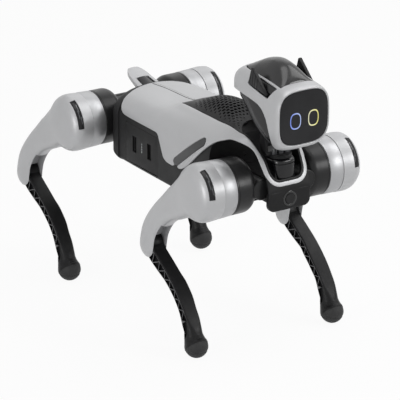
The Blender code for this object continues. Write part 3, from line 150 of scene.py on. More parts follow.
# Lower leg: share of the way to the foot, offset, half depth, half width
SHANK_LINE = (
    (0.00, 0.0000, 0.0120, SHANK_HALF_WIDTH),
    (0.10, 0.0010, 0.0132, SHANK_HALF_WIDTH),
    (0.235, 0.0090, 0.0122, SHANK_HALF_WIDTH),
    (0.375, 0.0180, 0.0098, SHANK_HALF_WIDTH),
    (0.515, 0.0222, 0.0088, SHANK_HALF_WIDTH),
    (0.635, 0.0224, 0.0088, SHANK_HALF_WIDTH),
    (0.750, 0.0185, 0.0104, SHANK_HALF_WIDTH),
    (0.865, 0.0105, 0.0146, 0.0156),
)

# Flare of the ankle: distance short of the foot, offset, half depth, half width
ANKLE_FLARE = (
    (0.0200, 0.0058, 0.0168, 0.0172),
    (0.0110, 0.0022, 0.0194, 0.0196),
    (0.0045, 0.0004, 0.0218, 0.0218),
    (0.0, 0.0, 0.0223, 0.0223),
)

# Seam and grooves of the foot: place from the sole, depth, spread
FOOT_GROOVES = (
    (0.40, 0.0016, 0.018), (0.17, 0.0004, 0.011), (0.23, 0.0004, 0.011), (0.29, 0.0004, 0.011),
)

# Lights in the slot window: from and to along it, low and high across it
LIGHT_STROKES = ((0.16, 0.40, 0.20, 0.32), (0.32, 0.62, 0.46, 0.58), (0.54, 0.82, 0.28, 0.40))

# Trunk
SHELL_WALL = 0.0025
SHELL_SEAT = 0.0005
SHELL_EXPONENT = 3.0
SKIRT_DROP = 0.050
BELLY_DROP = 0.0662
BELLY_HALF_WIDTH = 0.076
BELLY_CHAMFER = 0.011
BULKHEAD_OFFSET = 0.0575
CORE_HALF_WIDTH = 0.027
CORE_TOP = 0.011
CORE_DEPTH = 0.046
CORE_REACH = 0.0560
CUT_TOP = HIP_Z + 0.2
RING_MARGIN = 0.004
SKIN_SAMPLES = 120
FORM_FADE = 2.5
SHELL_GRID = (118, 72)
SHELL_ROLL = 0.0011
ROOF_HALF_WIDTH = 0.055
SHOULDER_LIFT = 0.0034
SHOULDER_REACH = 0.013
SPINE_SLOPE = 0.030
SPINE_EDGE = 0.0002
SPINE_BACK = FRONT_X - 0.3885
SPINE_LENGTH = 0.1490

# Trunk skin: place along X, half width, crown and spring line above the hips, backward bow
SKIN = [(hip + x, *rest) for hip, x, *rest in (
    (REAR_X, 0.0785, 0.0925, 0.0667, 0.0213, 0.025),
    (REAR_X, 0.1225, 0.0938, 0.0713, 0.0213, 0.015),
    (REAR_X, 0.1825, 0.0945, 0.0738, 0.0213, 0.0),
    (FRONT_X, -0.2225, 0.0948, 0.0808, 0.0213, 0.0),
    (FRONT_X, -0.1525, 0.0950, 0.0873, 0.0213, 0.0),
    (FRONT_X, -0.0895, 0.0950, 0.0913, 0.0213, 0.0),
    (FRONT_X, -0.0535, 0.0940, 0.0938, 0.0213, 0.0),
    (FRONT_X, -0.0215, 0.0870, 0.0953, 0.0213, 0.0),
    (FRONT_X, 0.0000, 0.0800, 0.0935, 0.0203, 0.0),
    (FRONT_X, 0.0205, 0.0700, 0.0803, 0.0083, 0.0),
    (FRONT_X, 0.0395, 0.0640, 0.0603, -0.0017, 0.0),
    (FRONT_X, 0.0575, 0.0600, 0.0303, -0.0117, 0.0),
    (FRONT_X, 0.0655, 0.0590, 0.0083, -0.0237, 0.0),
    (FRONT_X, 0.0675, 0.0585, -0.0037, -0.0337, 0.0),
)]

# Rings of the black rear rim: distance behind the skin's edge, bow and inset
REAR_RIM = (
    (0.0255, 0.0080, 0.0080),
    (0.0215, 0.0110, 0.0028),
    (0.0145, 0.0155, 0.0010),
    (0.0012, 0.0250, 0.0008),
)
REAR_LIFT = 0.020

# Opening for the grille and the neck: place along X, half width
OPENING = [(FRONT_X + x, half) for x, half in (
    (-0.2390, 0.0300), (-0.2360, 0.0345), (-0.2300, 0.0366), (-0.1525, 0.0445), (-0.0845, 0.0490),
    (-0.0225, 0.0505), (0.0000, 0.0490), (0.0205, 0.0440), (0.0395, 0.0400), (0.0575, 0.0375),
)]
OPENING_FLOOR = 0.0133
WELL_ROUND = 0.021
NOSE_BAND = 0.0078
ARCH_INNER_Y = 0.0465
ARCH_BLEND = 0.004

# Lower edge of the skin, from the skirt over the wheel arch to the chest
SKIRT_EDGE = [(hip + x, HIP_Z + z) for hip, x, z in (
    (REAR_X, 0.0640, 0.0600),
    (REAR_X, 0.0720, 0.0550),
    (REAR_X, 0.0780, 0.0495),
    (REAR_X, 0.0840, 0.0430),
    (REAR_X, 0.0910, 0.0380),
    (REAR_X, 0.0990, 0.0355),
    (REAR_X, 0.1120, 0.0347),
    (REAR_X, 0.1600, 0.0345),
    (FRONT_X, -0.2340, 0.0345),
    (FRONT_X, -0.2270, 0.0325),
    (FRONT_X, -0.2230, 0.0285),
    (FRONT_X, -0.2080, -0.0040),
    (FRONT_X, -0.2010, -0.0105),
    (FRONT_X, -0.1900, -0.0130),
    (FRONT_X, -0.1485, -0.0120),
    (FRONT_X, -0.1150, 0.0100),
    (FRONT_X, -0.0820, 0.0400),
    (FRONT_X, -0.0525, 0.0665),
    (FRONT_X, -0.0345, 0.0755),
    (FRONT_X, -0.0215, 0.0793),
    (FRONT_X, 0.0000, 0.0785),
    (FRONT_X, 0.0205, 0.0700),
    (FRONT_X, 0.0395, 0.0540),
    (FRONT_X, 0.0575, 0.0270),
    (FRONT_X, 0.0640, 0.0100),
    (FRONT_X, 0.0790, -0.0300),
)]
LIGHT_LOW = (FRONT_X - 0.1640, HIP_Z - 0.0030)
LIGHT_HIGH = (FRONT_X - 0.0820, HIP_Z + 0.0595)
LIGHT_HALF_WIDTH = 0.0080
LIGHT_GAP = 0.0004
LIGHT_WALL = 0.0022

# Grille
GRILLE_WALL = 0.0011
GRILLE_RISE = 0.027
GRILLE_WELL = 0.070
GRILLE_FRONT_MID = -0.0585
GRILLE_FRONT_SIDE = -0.0115
GRILLE_BACK = 0.0016
GRILLE_PITCH = (0.0076, 0.0078)
GRILLE_HOLE = (0.0049, 0.0055)
GRILLE_SLANT = -0.2
GRILLE_GRID = (230, 118)
SMALLEST_HOLE = 0.16

# Liner of the neck opening, end plates, button
LINER_WIDTH = 0.0042
LINER_INSET = 0.0012
LINER_WALL = 0.0060
PLATE_THICKNESS = 0.0112
PLATE_HALF_WIDTH = 0.0448
PLATE_TOP = -0.0025
PLATE_BOTTOM = -0.0402
PLATE_ROUND = 0.013
PLATE_EDGE = 0.0026
APRON_HALF_WIDTH = 0.0446
APRON_INSET = 0.0016
APRON_WALL = 0.0030
APRON_DROP = 0.022
REAR_PLATE_TOP = 0.0110
BUTTON_DROP = 0.0198
BUTTON_RADIUS = 0.0096
BUTTON_HEIGHT = 0.0034
BUTTON_TRAVEL = 0.0012
BEZEL_RADIUS = 0.0148
BEZEL_HEIGHT = 0.0022

# Battery
BATTERY_LENGTH = 0.110
BATTERY_HEIGHT = 0.076
BATTERY_REACH = 0.142
BATTERY_MID_X = REAR_X + 0.1600
BATTERY_MID_Z = HIP_Z - 0.0150
BATTERY_MOUTH = 0.05
LATCH_SPACING = 0.0510
LATCH_SLOT = (0.0130, 0.0310, 0.0080)
LATCH_PAD = (0.0066, 0.0290, 0.0060)

# Inside the trunk
MOTOR_RADIUS = 0.030
MOTOR_LENGTH = 0.042
MOTOR_FLANGE_RADIUS = 0.020
SPEAKER_RADIUS = 0.026
SPEAKER_BACK = 0.1150
SPEAKER_FLOOR = 0.058
BOARD_SIZE = (0.060, 0.104)
BOARD_BACK = 0.1800
BOARD_Z = -0.012
BOARD_ROOM = 0.003
SCREW_RADIUS = 0.0026

# Neck and head
NECK_X = FRONT_X + 0.0325
NECK_BASE = (0.056, 0.048, 0.0405)
NECK_EXPONENT = 3.0
TURNTABLE_RADIUS = 0.0225
TURNTABLE_HEIGHT = 0.0055
PITCH_X = FRONT_X + 0.0205
PITCH_Z = HIP_Z + 0.1063
YOKE_HALF_WIDTH = 0.0300
YOKE_CHEEK = 0.0050
YOKE_SWING = 0.0360
NECK_SWING = 0.0350
YOKE_RADIUS = 0.0105
BARREL_RADIUS = 0.0165
PITCH_PIN_RADIUS = 0.0050
HEAD_WALL = 0.0030

# Neck block: share of its height, inset
NECK_LINE = (
    (0.0, 0.0), (0.02, 0.0), (0.70, 0.0006), (0.78, 0.0008), (0.79, 0.0024), (0.83, 0.0024),
    (0.84, 0.0010), (0.92, 0.0012), (0.97, 0.0024), (1.0, 0.0050),
)

# Head: place along X, half width, top, bottom, exponents of the section above and below
HEAD = [(FRONT_X + x, half, HIP_Z + top, HIP_Z + bottom, *bends)
        for x, half, top, bottom, *bends in (
    (0.1085, 0.0545, 0.1993, 0.0943, 3.4, 3.4),
    (0.1000, 0.0575, 0.2030, 0.0868, 3.2, 3.6),
    (0.0825, 0.0590, 0.2060, 0.0818, 3.0, 4.0),
    (0.0575, 0.0590, 0.2098, 0.0810, 2.9, 4.2),
    (0.0275, 0.0575, 0.2125, 0.0905, 2.9, 4.2),
    (-0.0025, 0.0550, 0.2130, 0.1180, 2.9, 4.2),
    (-0.0275, 0.0525, 0.2110, 0.1375, 3.0, 4.0),
    (-0.0420, 0.0480, 0.2063, 0.1470, 3.1, 3.6),
    (-0.0475, 0.0400, 0.1993, 0.1560, 3.1, 3.2),
)]
DISPLAY_THICKNESS = 0.0085
DISPLAY_DOME = 0.0018
EYE_Y = 0.0190
EYE_HALF = (0.0105, 0.0140)
EYE_EXPONENT = 2.6
CAP_HALF_WIDTH = 0.0350
CAP_BACK = -0.0350
CAP_FRONT = 0.0868
CAP_RISE = 0.0232
CAP_TAPER = 0.012
CAP_STRIPE = 0.0045
EAR_WINDOW = ((0.0065, 0.1903), (0.0055, 0.2143), (0.0835, 0.2023), (0.0735, 0.1803))
EAR_OUTLINE = ((0.0105, 0.1918), (0.0210, 0.2238), (0.0240, 0.2230), (0.0675, 0.1838))
EAR_INNER_Y = 0.0468
EAR_THICKNESS = 0.0070
EAR_CUT_Y = 0.08
CHEEK_EDGE = (
    (-0.0600, 0.1680), (-0.0300, 0.1690), (0.0350, 0.1655), (0.0575, 0.1600), (0.0700, 0.1500),
    (0.0775, 0.1380), (0.0840, 0.1200), (0.0875, 0.1050), (0.0875, 0.0500), (-0.0600, 0.0500),
)
CHEEK_CREASE = ((-0.0100, 0.1700), (0.0050, 0.1625), (0.0350, 0.1340), (0.0750, 0.1060))
CHEEK_SLOPE = 0.17
CHEEK_DEPTH = 0.006

# Tail
TAIL_LENGTH = 0.066
TAIL_ROOT_WIDTH = 0.051
TAIL_TIP_WIDTH = 0.036
TAIL_RISE = 0.0185
TAIL_THICKNESS = 0.0085
TAIL_TONGUE = 0.006
TAIL_TOP = 0.0645
TAIL_BACK = 0.0500

# Studio: the camera's pixels are those of a square photograph
WHITE = (1.0, 1.0, 1.0, 1.0)
WORLD_LIGHT = 0.20
FLOOR_COLOUR = (0.85, 0.85, 0.85, 1.0)
FLOOR_RADIUS = 7.0
FLOOR_SHARE = 0.94
TARGET = Vector(((FRONT_X + REAR_X) / 2 - 0.0071, 0.0, 0.1998))
CAMERA_ANGLES = (56.91, 20.87)
CAMERA_DISTANCE = 6.56
SENSOR_WIDTH = 36.0
FOCAL_PIXELS = 3517.0
PHOTO_PIXELS = 400.0
AIM_PIXELS = (0.7, 1.8)

# Lamps: name, azimuth, elevation, distance, size, power
LAMPS = (
    ("key", 123, 21, 3.2, 1.0, 30.0),
    ("fill", 18, 8, 3.2, 1.2, 32.0),
    ("top", 60, 84, 3.0, 1.5, 20.0),
    ("left", 165, 50, 3.0, 1.6, 25.0),
    ("rim", 235, 40, 3.2, 2.0, 8.0),
)


# Mesh helpers

AXIS_ORDER = {"X": (2, 0, 1), "Y": (0, 2, 1), "Z": (0, 1, 2)}
ROUND = 72
SAME_POINT = 1e-6
BEVEL_ANGLE = math.radians(40.0)
RELAX_STEP = 0.5


def linked(name, data):
    made = bpy.data.objects.new(name, data)
    SCENE.collection.objects.link(made)
    return made


def stored(name, shape):
    mesh = bpy.data.meshes.new(name)
    shape.to_mesh(mesh)
    shape.free()
    return linked(name, mesh)


def from_bmesh(name, shape):
    bmesh.ops.recalc_face_normals(shape, faces=shape.faces)
    return stored(name, shape)


def cleaned(name, mesh):
    """An object from a working mesh, with its doubled points joined."""
    shape = bmesh.new()
    shape.from_mesh(mesh)
    bmesh.ops.remove_doubles(shape, verts=shape.verts, dist=SAME_POINT)
    bpy.data.meshes.remove(mesh)
    return from_bmesh(name, shape)


def edited(made, change):
    """The object after a change to its mesh."""
    shape = bmesh.new()
    shape.from_mesh(made.data)
    change(shape)
    shape.to_mesh(made.data)
    shape.free()
    return made


def merged(name, parts):
    """One object from several working objects."""
    shape = bmesh.new()
    for part in parts:
        shape.from_mesh(part.data)
        bpy.data.objects.remove(part, do_unlink=True)
    return stored(name, shape)


def moved(made, matrix):
    made.data.transform(matrix)
    if matrix.determinant() < 0:
        made.data.flip_normals()
    return made


def placed(made, *place):
    return moved(made, Matrix.Translation(place))


def turn_to(facing):
    return Vector(facing).to_track_quat("Z", "Y").to_matrix().to_4x4()


def span(side, near, far):
    """Two distances from the middle, on one side of it, from low to high."""
    return sorted((side * near, side * far))


def quads_between(shape, rows, wrap=True):
    count = len(rows[0])
    for first, second in zip(rows, rows[1:]):
        for i in range(count if wrap else count - 1):
            j = (i + 1) % count
            shape.faces.new((first[i], first[j], second[j], second[i]))


def fan_over(shape, row):
    centre = shape.verts.new(sum((vert.co for vert in row), Vector()) / len(row))
    for i, vert in enumerate(row):
        shape.faces.new((vert, row[(i + 1) % len(row)], centre))


def box(low, high):
    shape = bmesh.new()
    bmesh.ops.create_cube(shape, size=1.0)
    bmesh.ops.scale(shape, vec=Vector(high) - Vector(low), verts=shape.verts)
    bmesh.ops.translate(shape, vec=(Vector(high) + Vector(low)) / 2, verts=shape.verts)
    return from_bmesh("box", shape)


def rod(radius, start, end, steps=ROUND):
    start, end = Vector(start), Vector(end)
    shape = bmesh.new()
    bmesh.ops.create_cone(shape, cap_ends=True, segments=steps, radius1=radius, radius2=radius,
                          depth=(end - start).length)
    place = Matrix.Translation((start + end) / 2) @ turn_to(end - start)
    bmesh.ops.transform(shape, matrix=place, verts=shape.verts)
    return from_bmesh("rod", shape)


def cross_rod(radius, x, z, reach, steps=ROUND):
    """A rod from side to side."""
    return rod(radius, (x, -reach, z), (x, reach, z), steps)


def loft(rings, capped=True):
    """A closed skin through rings of as many points each."""
    shape = bmesh.new()
    rows = [[shape.verts.new(point) for point in ring] for ring in rings]
    quads_between(shape, rows)
    if capped:
        fan_over(shape, rows[0])
        fan_over(shape, rows[-1])
    return from_bmesh("loft", shape)


def turned(profile, axis, steps=ROUND):
    """A solid of revolution. The profile is (place along the axis, radius)."""
    shape = bmesh.new()
    closed = profile[0] == profile[-1]
    rows = []
    for place, radius in profile[:-1] if closed else profile:
        row = []
        for i in range(steps if radius > SAME_POINT else 1):
            angle = 2 * math.pi * i / steps
            local = (radius * math.cos(angle), radius * math.sin(angle), place)
            row.append(shape.verts.new([local[k] for k in AXIS_ORDER[axis]]))
        rows.append(row)
    if closed:
        rows.append(rows[0])
    for first, second in zip(rows, rows[1:]):
        for i in range(steps):
            j = (i + 1) % steps
            corners = [first[i % len(first)], first[j % len(first)],
                       second[j % len(second)], second[i % len(second)]]
            corners = list(dict.fromkeys(corners))
            if len(corners) > 2:
                shape.faces.new(corners)
    return from_bmesh("turned", shape)


def prism(outline, low, high, across="Y"):
    """A flat outline pushed out between two planes across the named axis."""
    shape = bmesh.new()
    ends = [[shape.verts.new([(u, v, depth)[k] for k in AXIS_ORDER[across]]) for u, v in outline]
            for depth in (low, high)]
    for end in ends:
        shape.faces.new(end)
    quads_between(shape, ends)
    return from_bmesh("prism", shape)


def baked(made):
    """The object with its modifiers in its mesh. What they cut or joined is gone."""
    bpy.context.view_layer.update()
    graph = bpy.context.evaluated_depsgraph_get()
    mesh = bpy.data.meshes.new_from_object(made.evaluated_get(graph), depsgraph=graph)
    name = made.name
    used = [modifier.object for modifier in made.modifiers if modifier.type == "BOOLEAN"]
    for old in [made] + used:
        bpy.data.objects.remove(old, do_unlink=True)
    return cleaned(name, mesh)


def modified(made, kind, **settings):
    modifier = made.modifiers.new(kind.title(), kind)
    for key, value in settings.items():
        setattr(modifier, key, value)
    return made


def combined(made, others, operation):
    for other in others:
        modified(made, "BOOLEAN", solver="EXACT", operation=operation, object=other)
    return made


def cut(made, *cutters):
    return baked(combined(made, cutters, "DIFFERENCE"))


def joined(made, *others):
    return baked(combined(made, others, "UNION"))


def rounded(made, width, segments=3):
    return baked(modified(made, "BEVEL", width=width, segments=segments, limit_method="ANGLE",
                          angle_limit=BEVEL_ANGLE))


def relaxed(made, rounds, weight=1.0, hold=0.0):
    """Moves each point towards the middle of its neighbours; hold pushes the shrinkage back."""
    mesh = made.data
    count = len(mesh.vertices)
    points = np.empty(count * 3)
    mesh.vertices.foreach_get("co", points)
    points = points.reshape(-1, 3)
    ends = np.empty(len(mesh.edges) * 2, np.int64)
    mesh.edges.foreach_get("vertices", ends)
    first, second = ends.reshape(-1, 2).T
    degree = np.bincount(first, minlength=count) + np.bincount(second, minlength=count)
    weight = np.broadcast_to(weight, (count,))[:, None]
    for _ in range(rounds):
        for share in (RELAX_STEP, -hold) if hold else (RELAX_STEP,):
            total = np.stack([np.bincount(first, points[second, k], count)
                              + np.bincount(second, points[first, k], count)
                              for k in range(3)], 1)
            points = points + share * weight * (total / degree[:, None] - points)
    mesh.vertices.foreach_set("co", points.ravel())
    mesh.update()
    return made


def tree_of(made):
    shape = bmesh.new()
    shape.from_mesh(made.data)
    tree = BVHTree.FromBMesh(shape)
    shape.free()
    return tree


def closeness(made, trees, reach):
    """How near each point lies to both surfaces: 1 where they cross, 0 beyond the reach."""
    share = []
    for vertex in made.data.vertices:
        far = max(tree.find_nearest(vertex.co)[3] for tree in trees)
        share.append(max(1 - far / reach, 0.0))
    return np.array(share) ** 0.7


# Curves

def eased(keys, count):
    """Points on a smooth curve through the keys, evenly shared between them."""
    last = len(keys) - 1
    made = []
    for step in range(count):
        place = step / (count - 1) * last
        i = min(int(place), last - 1)
        t = place - i
        before = keys[max(i - 1, 0)]
        after = keys[min(i + 2, last)]
        row = []
        for p0, p1, p2, p3 in zip(before, keys[i], keys[i + 1], after):
            row.append(0.5 * (2 * p1 + (p2 - p0) * t + (2 * p0 - 5 * p1 + 4 * p2 - p3) * t * t
                              + (3 * p1 - p0 - 3 * p2 + p3) * t ** 3))
        made.append(tuple(row))
    return made


def between(keys, place):
    """Straight-line reading of a table whose first column is the place."""
    for first, second in zip(keys, keys[1:]):
        if place <= second[0]:
            share = (place - first[0]) / (second[0] - first[0])
            return tuple(a + (b - a) * share for a, b in zip(first, second))
    return keys[-1]


def steps_from(start, end, count):
    """Numbers at even steps, with both ends."""
    return [start + (end - start) * i / count for i in range(count + 1)]


def resampled(points, count):
    """As many points at even steps along a broken line."""
    points = np.array(points)
    run = np.concatenate([[0.0], np.cumsum(np.linalg.norm(np.diff(points, axis=0), axis=1))])
    wanted = np.linspace(0.0, run[-1], count)
    return np.stack([np.interp(wanted, run, points[:, k]) for k in range(points.shape[1])], 1)


def signed_power(value, power):
    return math.copysign(abs(value) ** power, value)


def smooth_step(low, high, value):
    share = np.clip((value - low) / (high - low), 0.0, 1.0)
    return share * share * (3 - 2 * share)


def soft_max(first, second, blend):
    return 0.5 * (first + second + np.sqrt((first - second) ** 2 + blend * blend))


def polygon_distance(outline, u, v):
    """Distance from an outline, negative inside it."""
    nearest = np.full(u.shape, np.inf)
    inside = np.zeros(u.shape, bool)
    for (au, av), (bu, bv) in zip(outline, list(outline[1:]) + [outline[0]]):
        eu, ev = bu - au, bv - av
        wu, wv = u - au, v - av
        share = np.clip((wu * eu + wv * ev) / (eu * eu + ev * ev + 1e-18), 0.0, 1.0)
        nearest = np.minimum(nearest, (wu - eu * share) ** 2 + (wv - ev * share) ** 2)
        if av != bv:
            inside ^= ((av > v) != (bv > v)) & (u < eu * wv / ev + au)
    return np.where(inside, -1.0, 1.0) * np.sqrt(nearest)


def arc(centre, radius, start, end, steps):
    """Points along part of a circle, from one angle to another."""
    return [(centre[0] + radius * math.cos(angle), centre[1] + radius * math.sin(angle))
            for angle in steps_from(start, end, steps)]


def stadium(start, end, half_width, steps=16):
    heading = math.atan2(end[1] - start[1], end[0] - start[0])
    quarter = math.pi / 2
    return (arc(start, half_width, heading + quarter, heading + 3 * quarter, steps)
            + arc(end, half_width, heading - quarter, heading + quarter, steps))


def oval(half, tall, over, under, count):
    """Evenly spaced points round an oval, with one exponent above its middle and one below."""
    points = []
    for i in range(OVAL_SAMPLES + 1):
        angle = 2 * math.pi * i / OVAL_SAMPLES
        power = 2.0 / (over if 2 * i <= OVAL_SAMPLES else under)
        points.append((half * signed_power(math.cos(angle), power),
                       tall * signed_power(math.sin(angle), power)))
    return resampled(points, count + 1)[:-1].tolist()


def trimmed_sheet(rows, keep, roll, closed):
    """A sheet through a grid of points, trimmed where keep falls under the roll."""
    shape = bmesh.new()
    grid = [[shape.verts.new(point) for point in row] for row in rows]
    quads_between(shape, grid, closed)
    if closed:
        fan_over(shape, grid[-1])
    level = shape.verts.layers.float.new("level")
    values = keep(np.array([vert.co for vert in shape.verts])) - roll
    for vert, value in zip(shape.verts, values):
        vert[level] = value
    snaps = {}
    for edge in shape.edges:
        for near, far in (tuple(edge.verts), tuple(edge.verts)[::-1]):
            if near[level] * far[level] < 0:
                share = near[level] / (near[level] - far[level])
                if share < snaps.get(near, (SNAP_SHARE,))[0]:
                    snaps[near] = (share, near.co.lerp(far.co, share))
    for vert, (_, place) in snaps.items():
        vert.co = place
        vert[level] = 0.0
    for edge in list(shape.edges):
        near, far = edge.verts
        if near[level] * far[level] < 0:
            share = near[level] / (near[level] - far[level])
            _, fresh = bmesh.utils.edge_split(edge, near, share)
            fresh[level] = 0.0
    for face in list(shape.faces):
        signs = [vert[level] for vert in face.verts]
        if min(signs) < 0 < max(signs):
            zeros = [vert for vert in face.verts if vert[level] == 0.0]
            if len(zeros) == 2:
                bmesh.utils.face_split(face, zeros[0], zeros[1])
    dropped = [face for face in shape.faces if min(vert[level] for vert in face.verts) < 0]
    bmesh.ops.delete(shape, geom=dropped, context="FACES")
    bmesh.ops.recalc_face_normals(shape, faces=shape.faces)
    highest = max(shape.faces, key=lambda face: face.calc_center_median().z)
    if highest.normal.z < 0:
        bmesh.ops.reverse_faces(shape, faces=shape.faces)
    shape.normal_update()
    shape.verts.index_update()
    return shape


def trimmed_shell(name, rows, keep, wall, roll, closed=False):
    """A trimmed sheet with a wall, its edges rolled over before they go down the wall."""
    shape = trimmed_sheet(rows, keep, roll, closed)
    outward = {}
    border = [edge for edge in shape.edges if edge.is_boundary]
    for edge in border:
        face = edge.link_faces[0]
        first, second = (vert.co for vert in edge.verts)
        away = (second - first).cross(face.normal).normalized()
        if away.dot((first + second) / 2 - face.calc_center_median()) < 0:
            away.negate()
        for vert in edge.verts:
            outward[vert.index] = outward.get(vert.index, Vector()) + away
    outward = {i: away.normalized() for i, away in outward.items()}
    points = [vert.co.copy() for vert in shape.verts]
    normals = [vert.normal.copy() for vert in shape.verts]
    faces = [[vert.index for vert in face.verts] for face in shape.faces]
    total = len(points)
    points += [point - normal * wall + outward.get(i, Vector()) * roll
               for i, (point, normal) in enumerate(zip(points, normals))]
    chains = {}
    for i, away in outward.items():
        chains[i] = [i]
        for angle in ROLL_ANGLES:
            chains[i].append(len(points))
            points.append(points[i] + away * roll * math.sin(angle)
                          - normals[i] * roll * (1 - math.cos(angle)))
        chains[i].append(i + total)
    faces += [[i + total for i in face[::-1]] for face in faces]
    for edge in border:
        first, second = (chains[vert.index] for vert in edge.verts)
        faces += [list(corners) for corners in zip(first, second, second[1:], first[1:])]
    shape.free()
    mesh = bpy.data.meshes.new(name)
    mesh.from_pydata(points, [], faces)
    return cleaned(name, mesh)


# Finishes

def node_tools(owner):
    nodes = owner.node_tree.nodes
    links = owner.node_tree.links

    def add(kind, inputs=None, **settings):
        node = nodes.new(kind)
        for key, value in settings.items():
            setattr(node, key, value)
        feed(node, inputs or {})
        return node

    def feed(node, inputs):
        for key, value in inputs.items():
            if isinstance(value, bpy.types.NodeSocket):
                links.new(value, node.inputs[key])
            else:
                node.inputs[key].default_value = value

    return nodes, add, feed


def ramp_of(add, source, stops):
    ramp = add("ShaderNodeValToRGB", {"Fac": source})
    elements = ramp.color_ramp.elements
    for element, (place, colour) in ((elements[0], stops[0]), (elements[1], stops[-1])):
        element.position = place
        element.color = (*colour, 1.0)
    for place, colour in stops[1:-1]:
        elements.new(place).color = (*colour, 1.0)
    return ramp.outputs["Color"]


def shaded(colour, factor):
    return tuple(min(channel * factor, 1.0) for channel in colour)


def new_material(name):
    made = bpy.data.materials.new(name)
    made.use_nodes = True
    return made, *node_tools(made)


def finish(name, colour, roughness, metallic, grain, depth, mottle, spread, wear=0.0,
           wear_colour=(0.5, 0.5, 0.5), coat=0.0, coat_roughness=0.1, specular=0.5, flake=0.0,
           stretch=(1.0, 1.0, 1.0)):
    """A material whose colour, roughness and bump vary over the surface, worn along its edges."""
    made, nodes, add, feed = new_material(name)
    place = add("ShaderNodeTexCoord").outputs["Object"]
    place = add("ShaderNodeMapping", {"Vector": place, "Scale": stretch}).outputs["Vector"]

    def noise(scale, detail):
        inputs = {"Vector": place, "Scale": scale, "Detail": detail}
        return add("ShaderNodeTexNoise", inputs).outputs["Fac"]

    def mapped(value, *ends):
        inputs = dict(zip(("From Min", "From Max", "To Min", "To Max"), ends))
        return add("ShaderNodeMapRange", {"Value": value, **inputs}).outputs["Result"]

    def mixed(blend, share, first, second):
        inputs = {0: share, 6: first, 7: second}
        return add("ShaderNodeMix", inputs, data_type="RGBA", blend_type=blend).outputs[2]

    tone = ramp_of(add, noise(18.0, 5.0), ((0.3, shaded(colour, 1 - mottle)),
                                           (0.7, shaded(colour, 1 + mottle))))
    if flake:
        cells = add("ShaderNodeTexVoronoi", {"Vector": place, "Scale": 2600.0}).outputs["Color"]
        grey = add("ShaderNodeRGBToBW", {"Color": cells}).outputs["Val"]
        glint = ramp_of(add, grey, ((0.0, (1 - flake,) * 3), (1.0, (1.0, 1.0, 1.0))))
        tone = mixed("MULTIPLY", 1.0, tone, glint)
    if wear:
        edge = mapped(add("ShaderNodeNewGeometry").outputs["Pointiness"], 0.53, 0.62, 0.0, wear)
        worn = add("ShaderNodeMath", {0: edge, 1: noise(60.0, 4.0)}, operation="MULTIPLY")
        tone = mixed("MIX", worn.outputs["Value"], tone, (*wear_colour, 1.0))
    rough = mapped(noise(70.0, 4.0), 0.25, 0.75, max(roughness - spread, 0.02),
                   roughness + spread)
    bump = add("ShaderNodeBump", {"Height": noise(grain, 2.0), "Strength": depth,
                                  "Distance": 0.0004})
    feed(nodes["Principled BSDF"], {
        "Base Color": tone, "Roughness": rough, "Normal": bump.outputs["Normal"],
        "Metallic": metallic, "Coat Weight": coat, "Coat Roughness": coat_roughness,
        "Specular IOR Level": specular})
    return made


def glow(name, stops, strength):
    """A lit surface whose colour runs along Y."""
    made, nodes, add, feed = new_material(name)
    place = add("ShaderNodeTexCoord").outputs["Object"]
    across = add("ShaderNodeSeparateXYZ", {"Vector": place}).outputs["Y"]
    flicker = add("ShaderNodeTexNoise", {"Vector": place, "Scale": 400.0}).outputs["Fac"]
    share = add("ShaderNodeMapRange", {"Value": across, "From Min": -0.035, "From Max": 0.035})
    base = ramp_of(add, flicker, ((0.3, (0.02, 0.02, 0.03)), (0.7, (0.05, 0.05, 0.06))))
    feed(nodes["Principled BSDF"], {
        "Base Color": base, "Roughness": 0.4, "Emission Strength": strength,
        "Emission Color": ramp_of(add, share.outputs["Result"], stops)})
    return made


# Colour, roughness, metallic, grain and its depth, mottle, spread of the roughness
SILVER = finish("silver_paint", (0.51, 0.513, 0.523), 0.42, 0.30, 1400.0, 0.03, 0.02, 0.03,
                wear=0.25, wear_colour=(0.66, 0.665, 0.67), coat=0.06, coat_roughness=0.25,
                flake=0.10)
BRUSHED = finish("brushed_silver", (0.41, 0.413, 0.422), 0.42, 0.70, 1200.0, 0.05, 0.02, 0.04,
                 wear=0.2, wear_colour=(0.62, 0.625, 0.63), flake=0.06, stretch=(0.15, 1.0, 0.15))
BLACK = finish("black_plastic", (0.015, 0.015, 0.0155), 0.46, 0.0, 1100.0, 0.20, 0.15, 0.06,
               wear=0.35, wear_colour=(0.06, 0.06, 0.062), specular=0.18)
GRAPHITE = finish("graphite_composite", (0.011, 0.011, 0.0115), 0.42, 0.0, 1500.0, 0.16, 0.15,
                  0.07, wear=0.5, wear_colour=(0.11, 0.11, 0.115), specular=0.16)
BAR_GREY = finish("truss_bars", (0.115, 0.115, 0.12), 0.45, 0.0, 1500.0, 0.16, 0.12, 0.07,
                  specular=0.3)
GRILLE_GREY = finish("grille_grey", (0.024, 0.024, 0.025), 0.45, 0.0, 1500.0, 0.16, 0.15, 0.07,
                     specular=0.14)
# Near-black finish that paints shade into hollows: the grooves beside the spine strip, the battery
# latch slots and the floors of the shank's truss pockets.
POCKET_SHADE = finish("pocket_painted_shade", (0.004, 0.004, 0.0045), 0.6, 0.0, 900.0, 0.15, 0.2, 0.05,
                specular=0.1)
GLASS = finish("black_glass", (0.021, 0.021, 0.0225), 0.14, 0.0, 500.0, 0.01, 0.2, 0.03,
               specular=0.14, coat=0.03, coat_roughness=0.05)
TINT = finish("tinted_visor", (0.020, 0.020, 0.0205), 0.22, 0.0, 400.0, 0.015, 0.15, 0.04,
              specular=0.42)
GLOSS = finish("gloss_black", (0.005, 0.005, 0.006), 0.20, 0.0, 400.0, 0.015, 0.15, 0.04,
               specular=0.38)
SATIN = finish("satin_black", (0.014, 0.014, 0.0145), 0.32, 0.0, 1300.0, 0.06, 0.15, 0.06,
               wear=0.3, wear_colour=(0.06, 0.06, 0.062), specular=0.24)
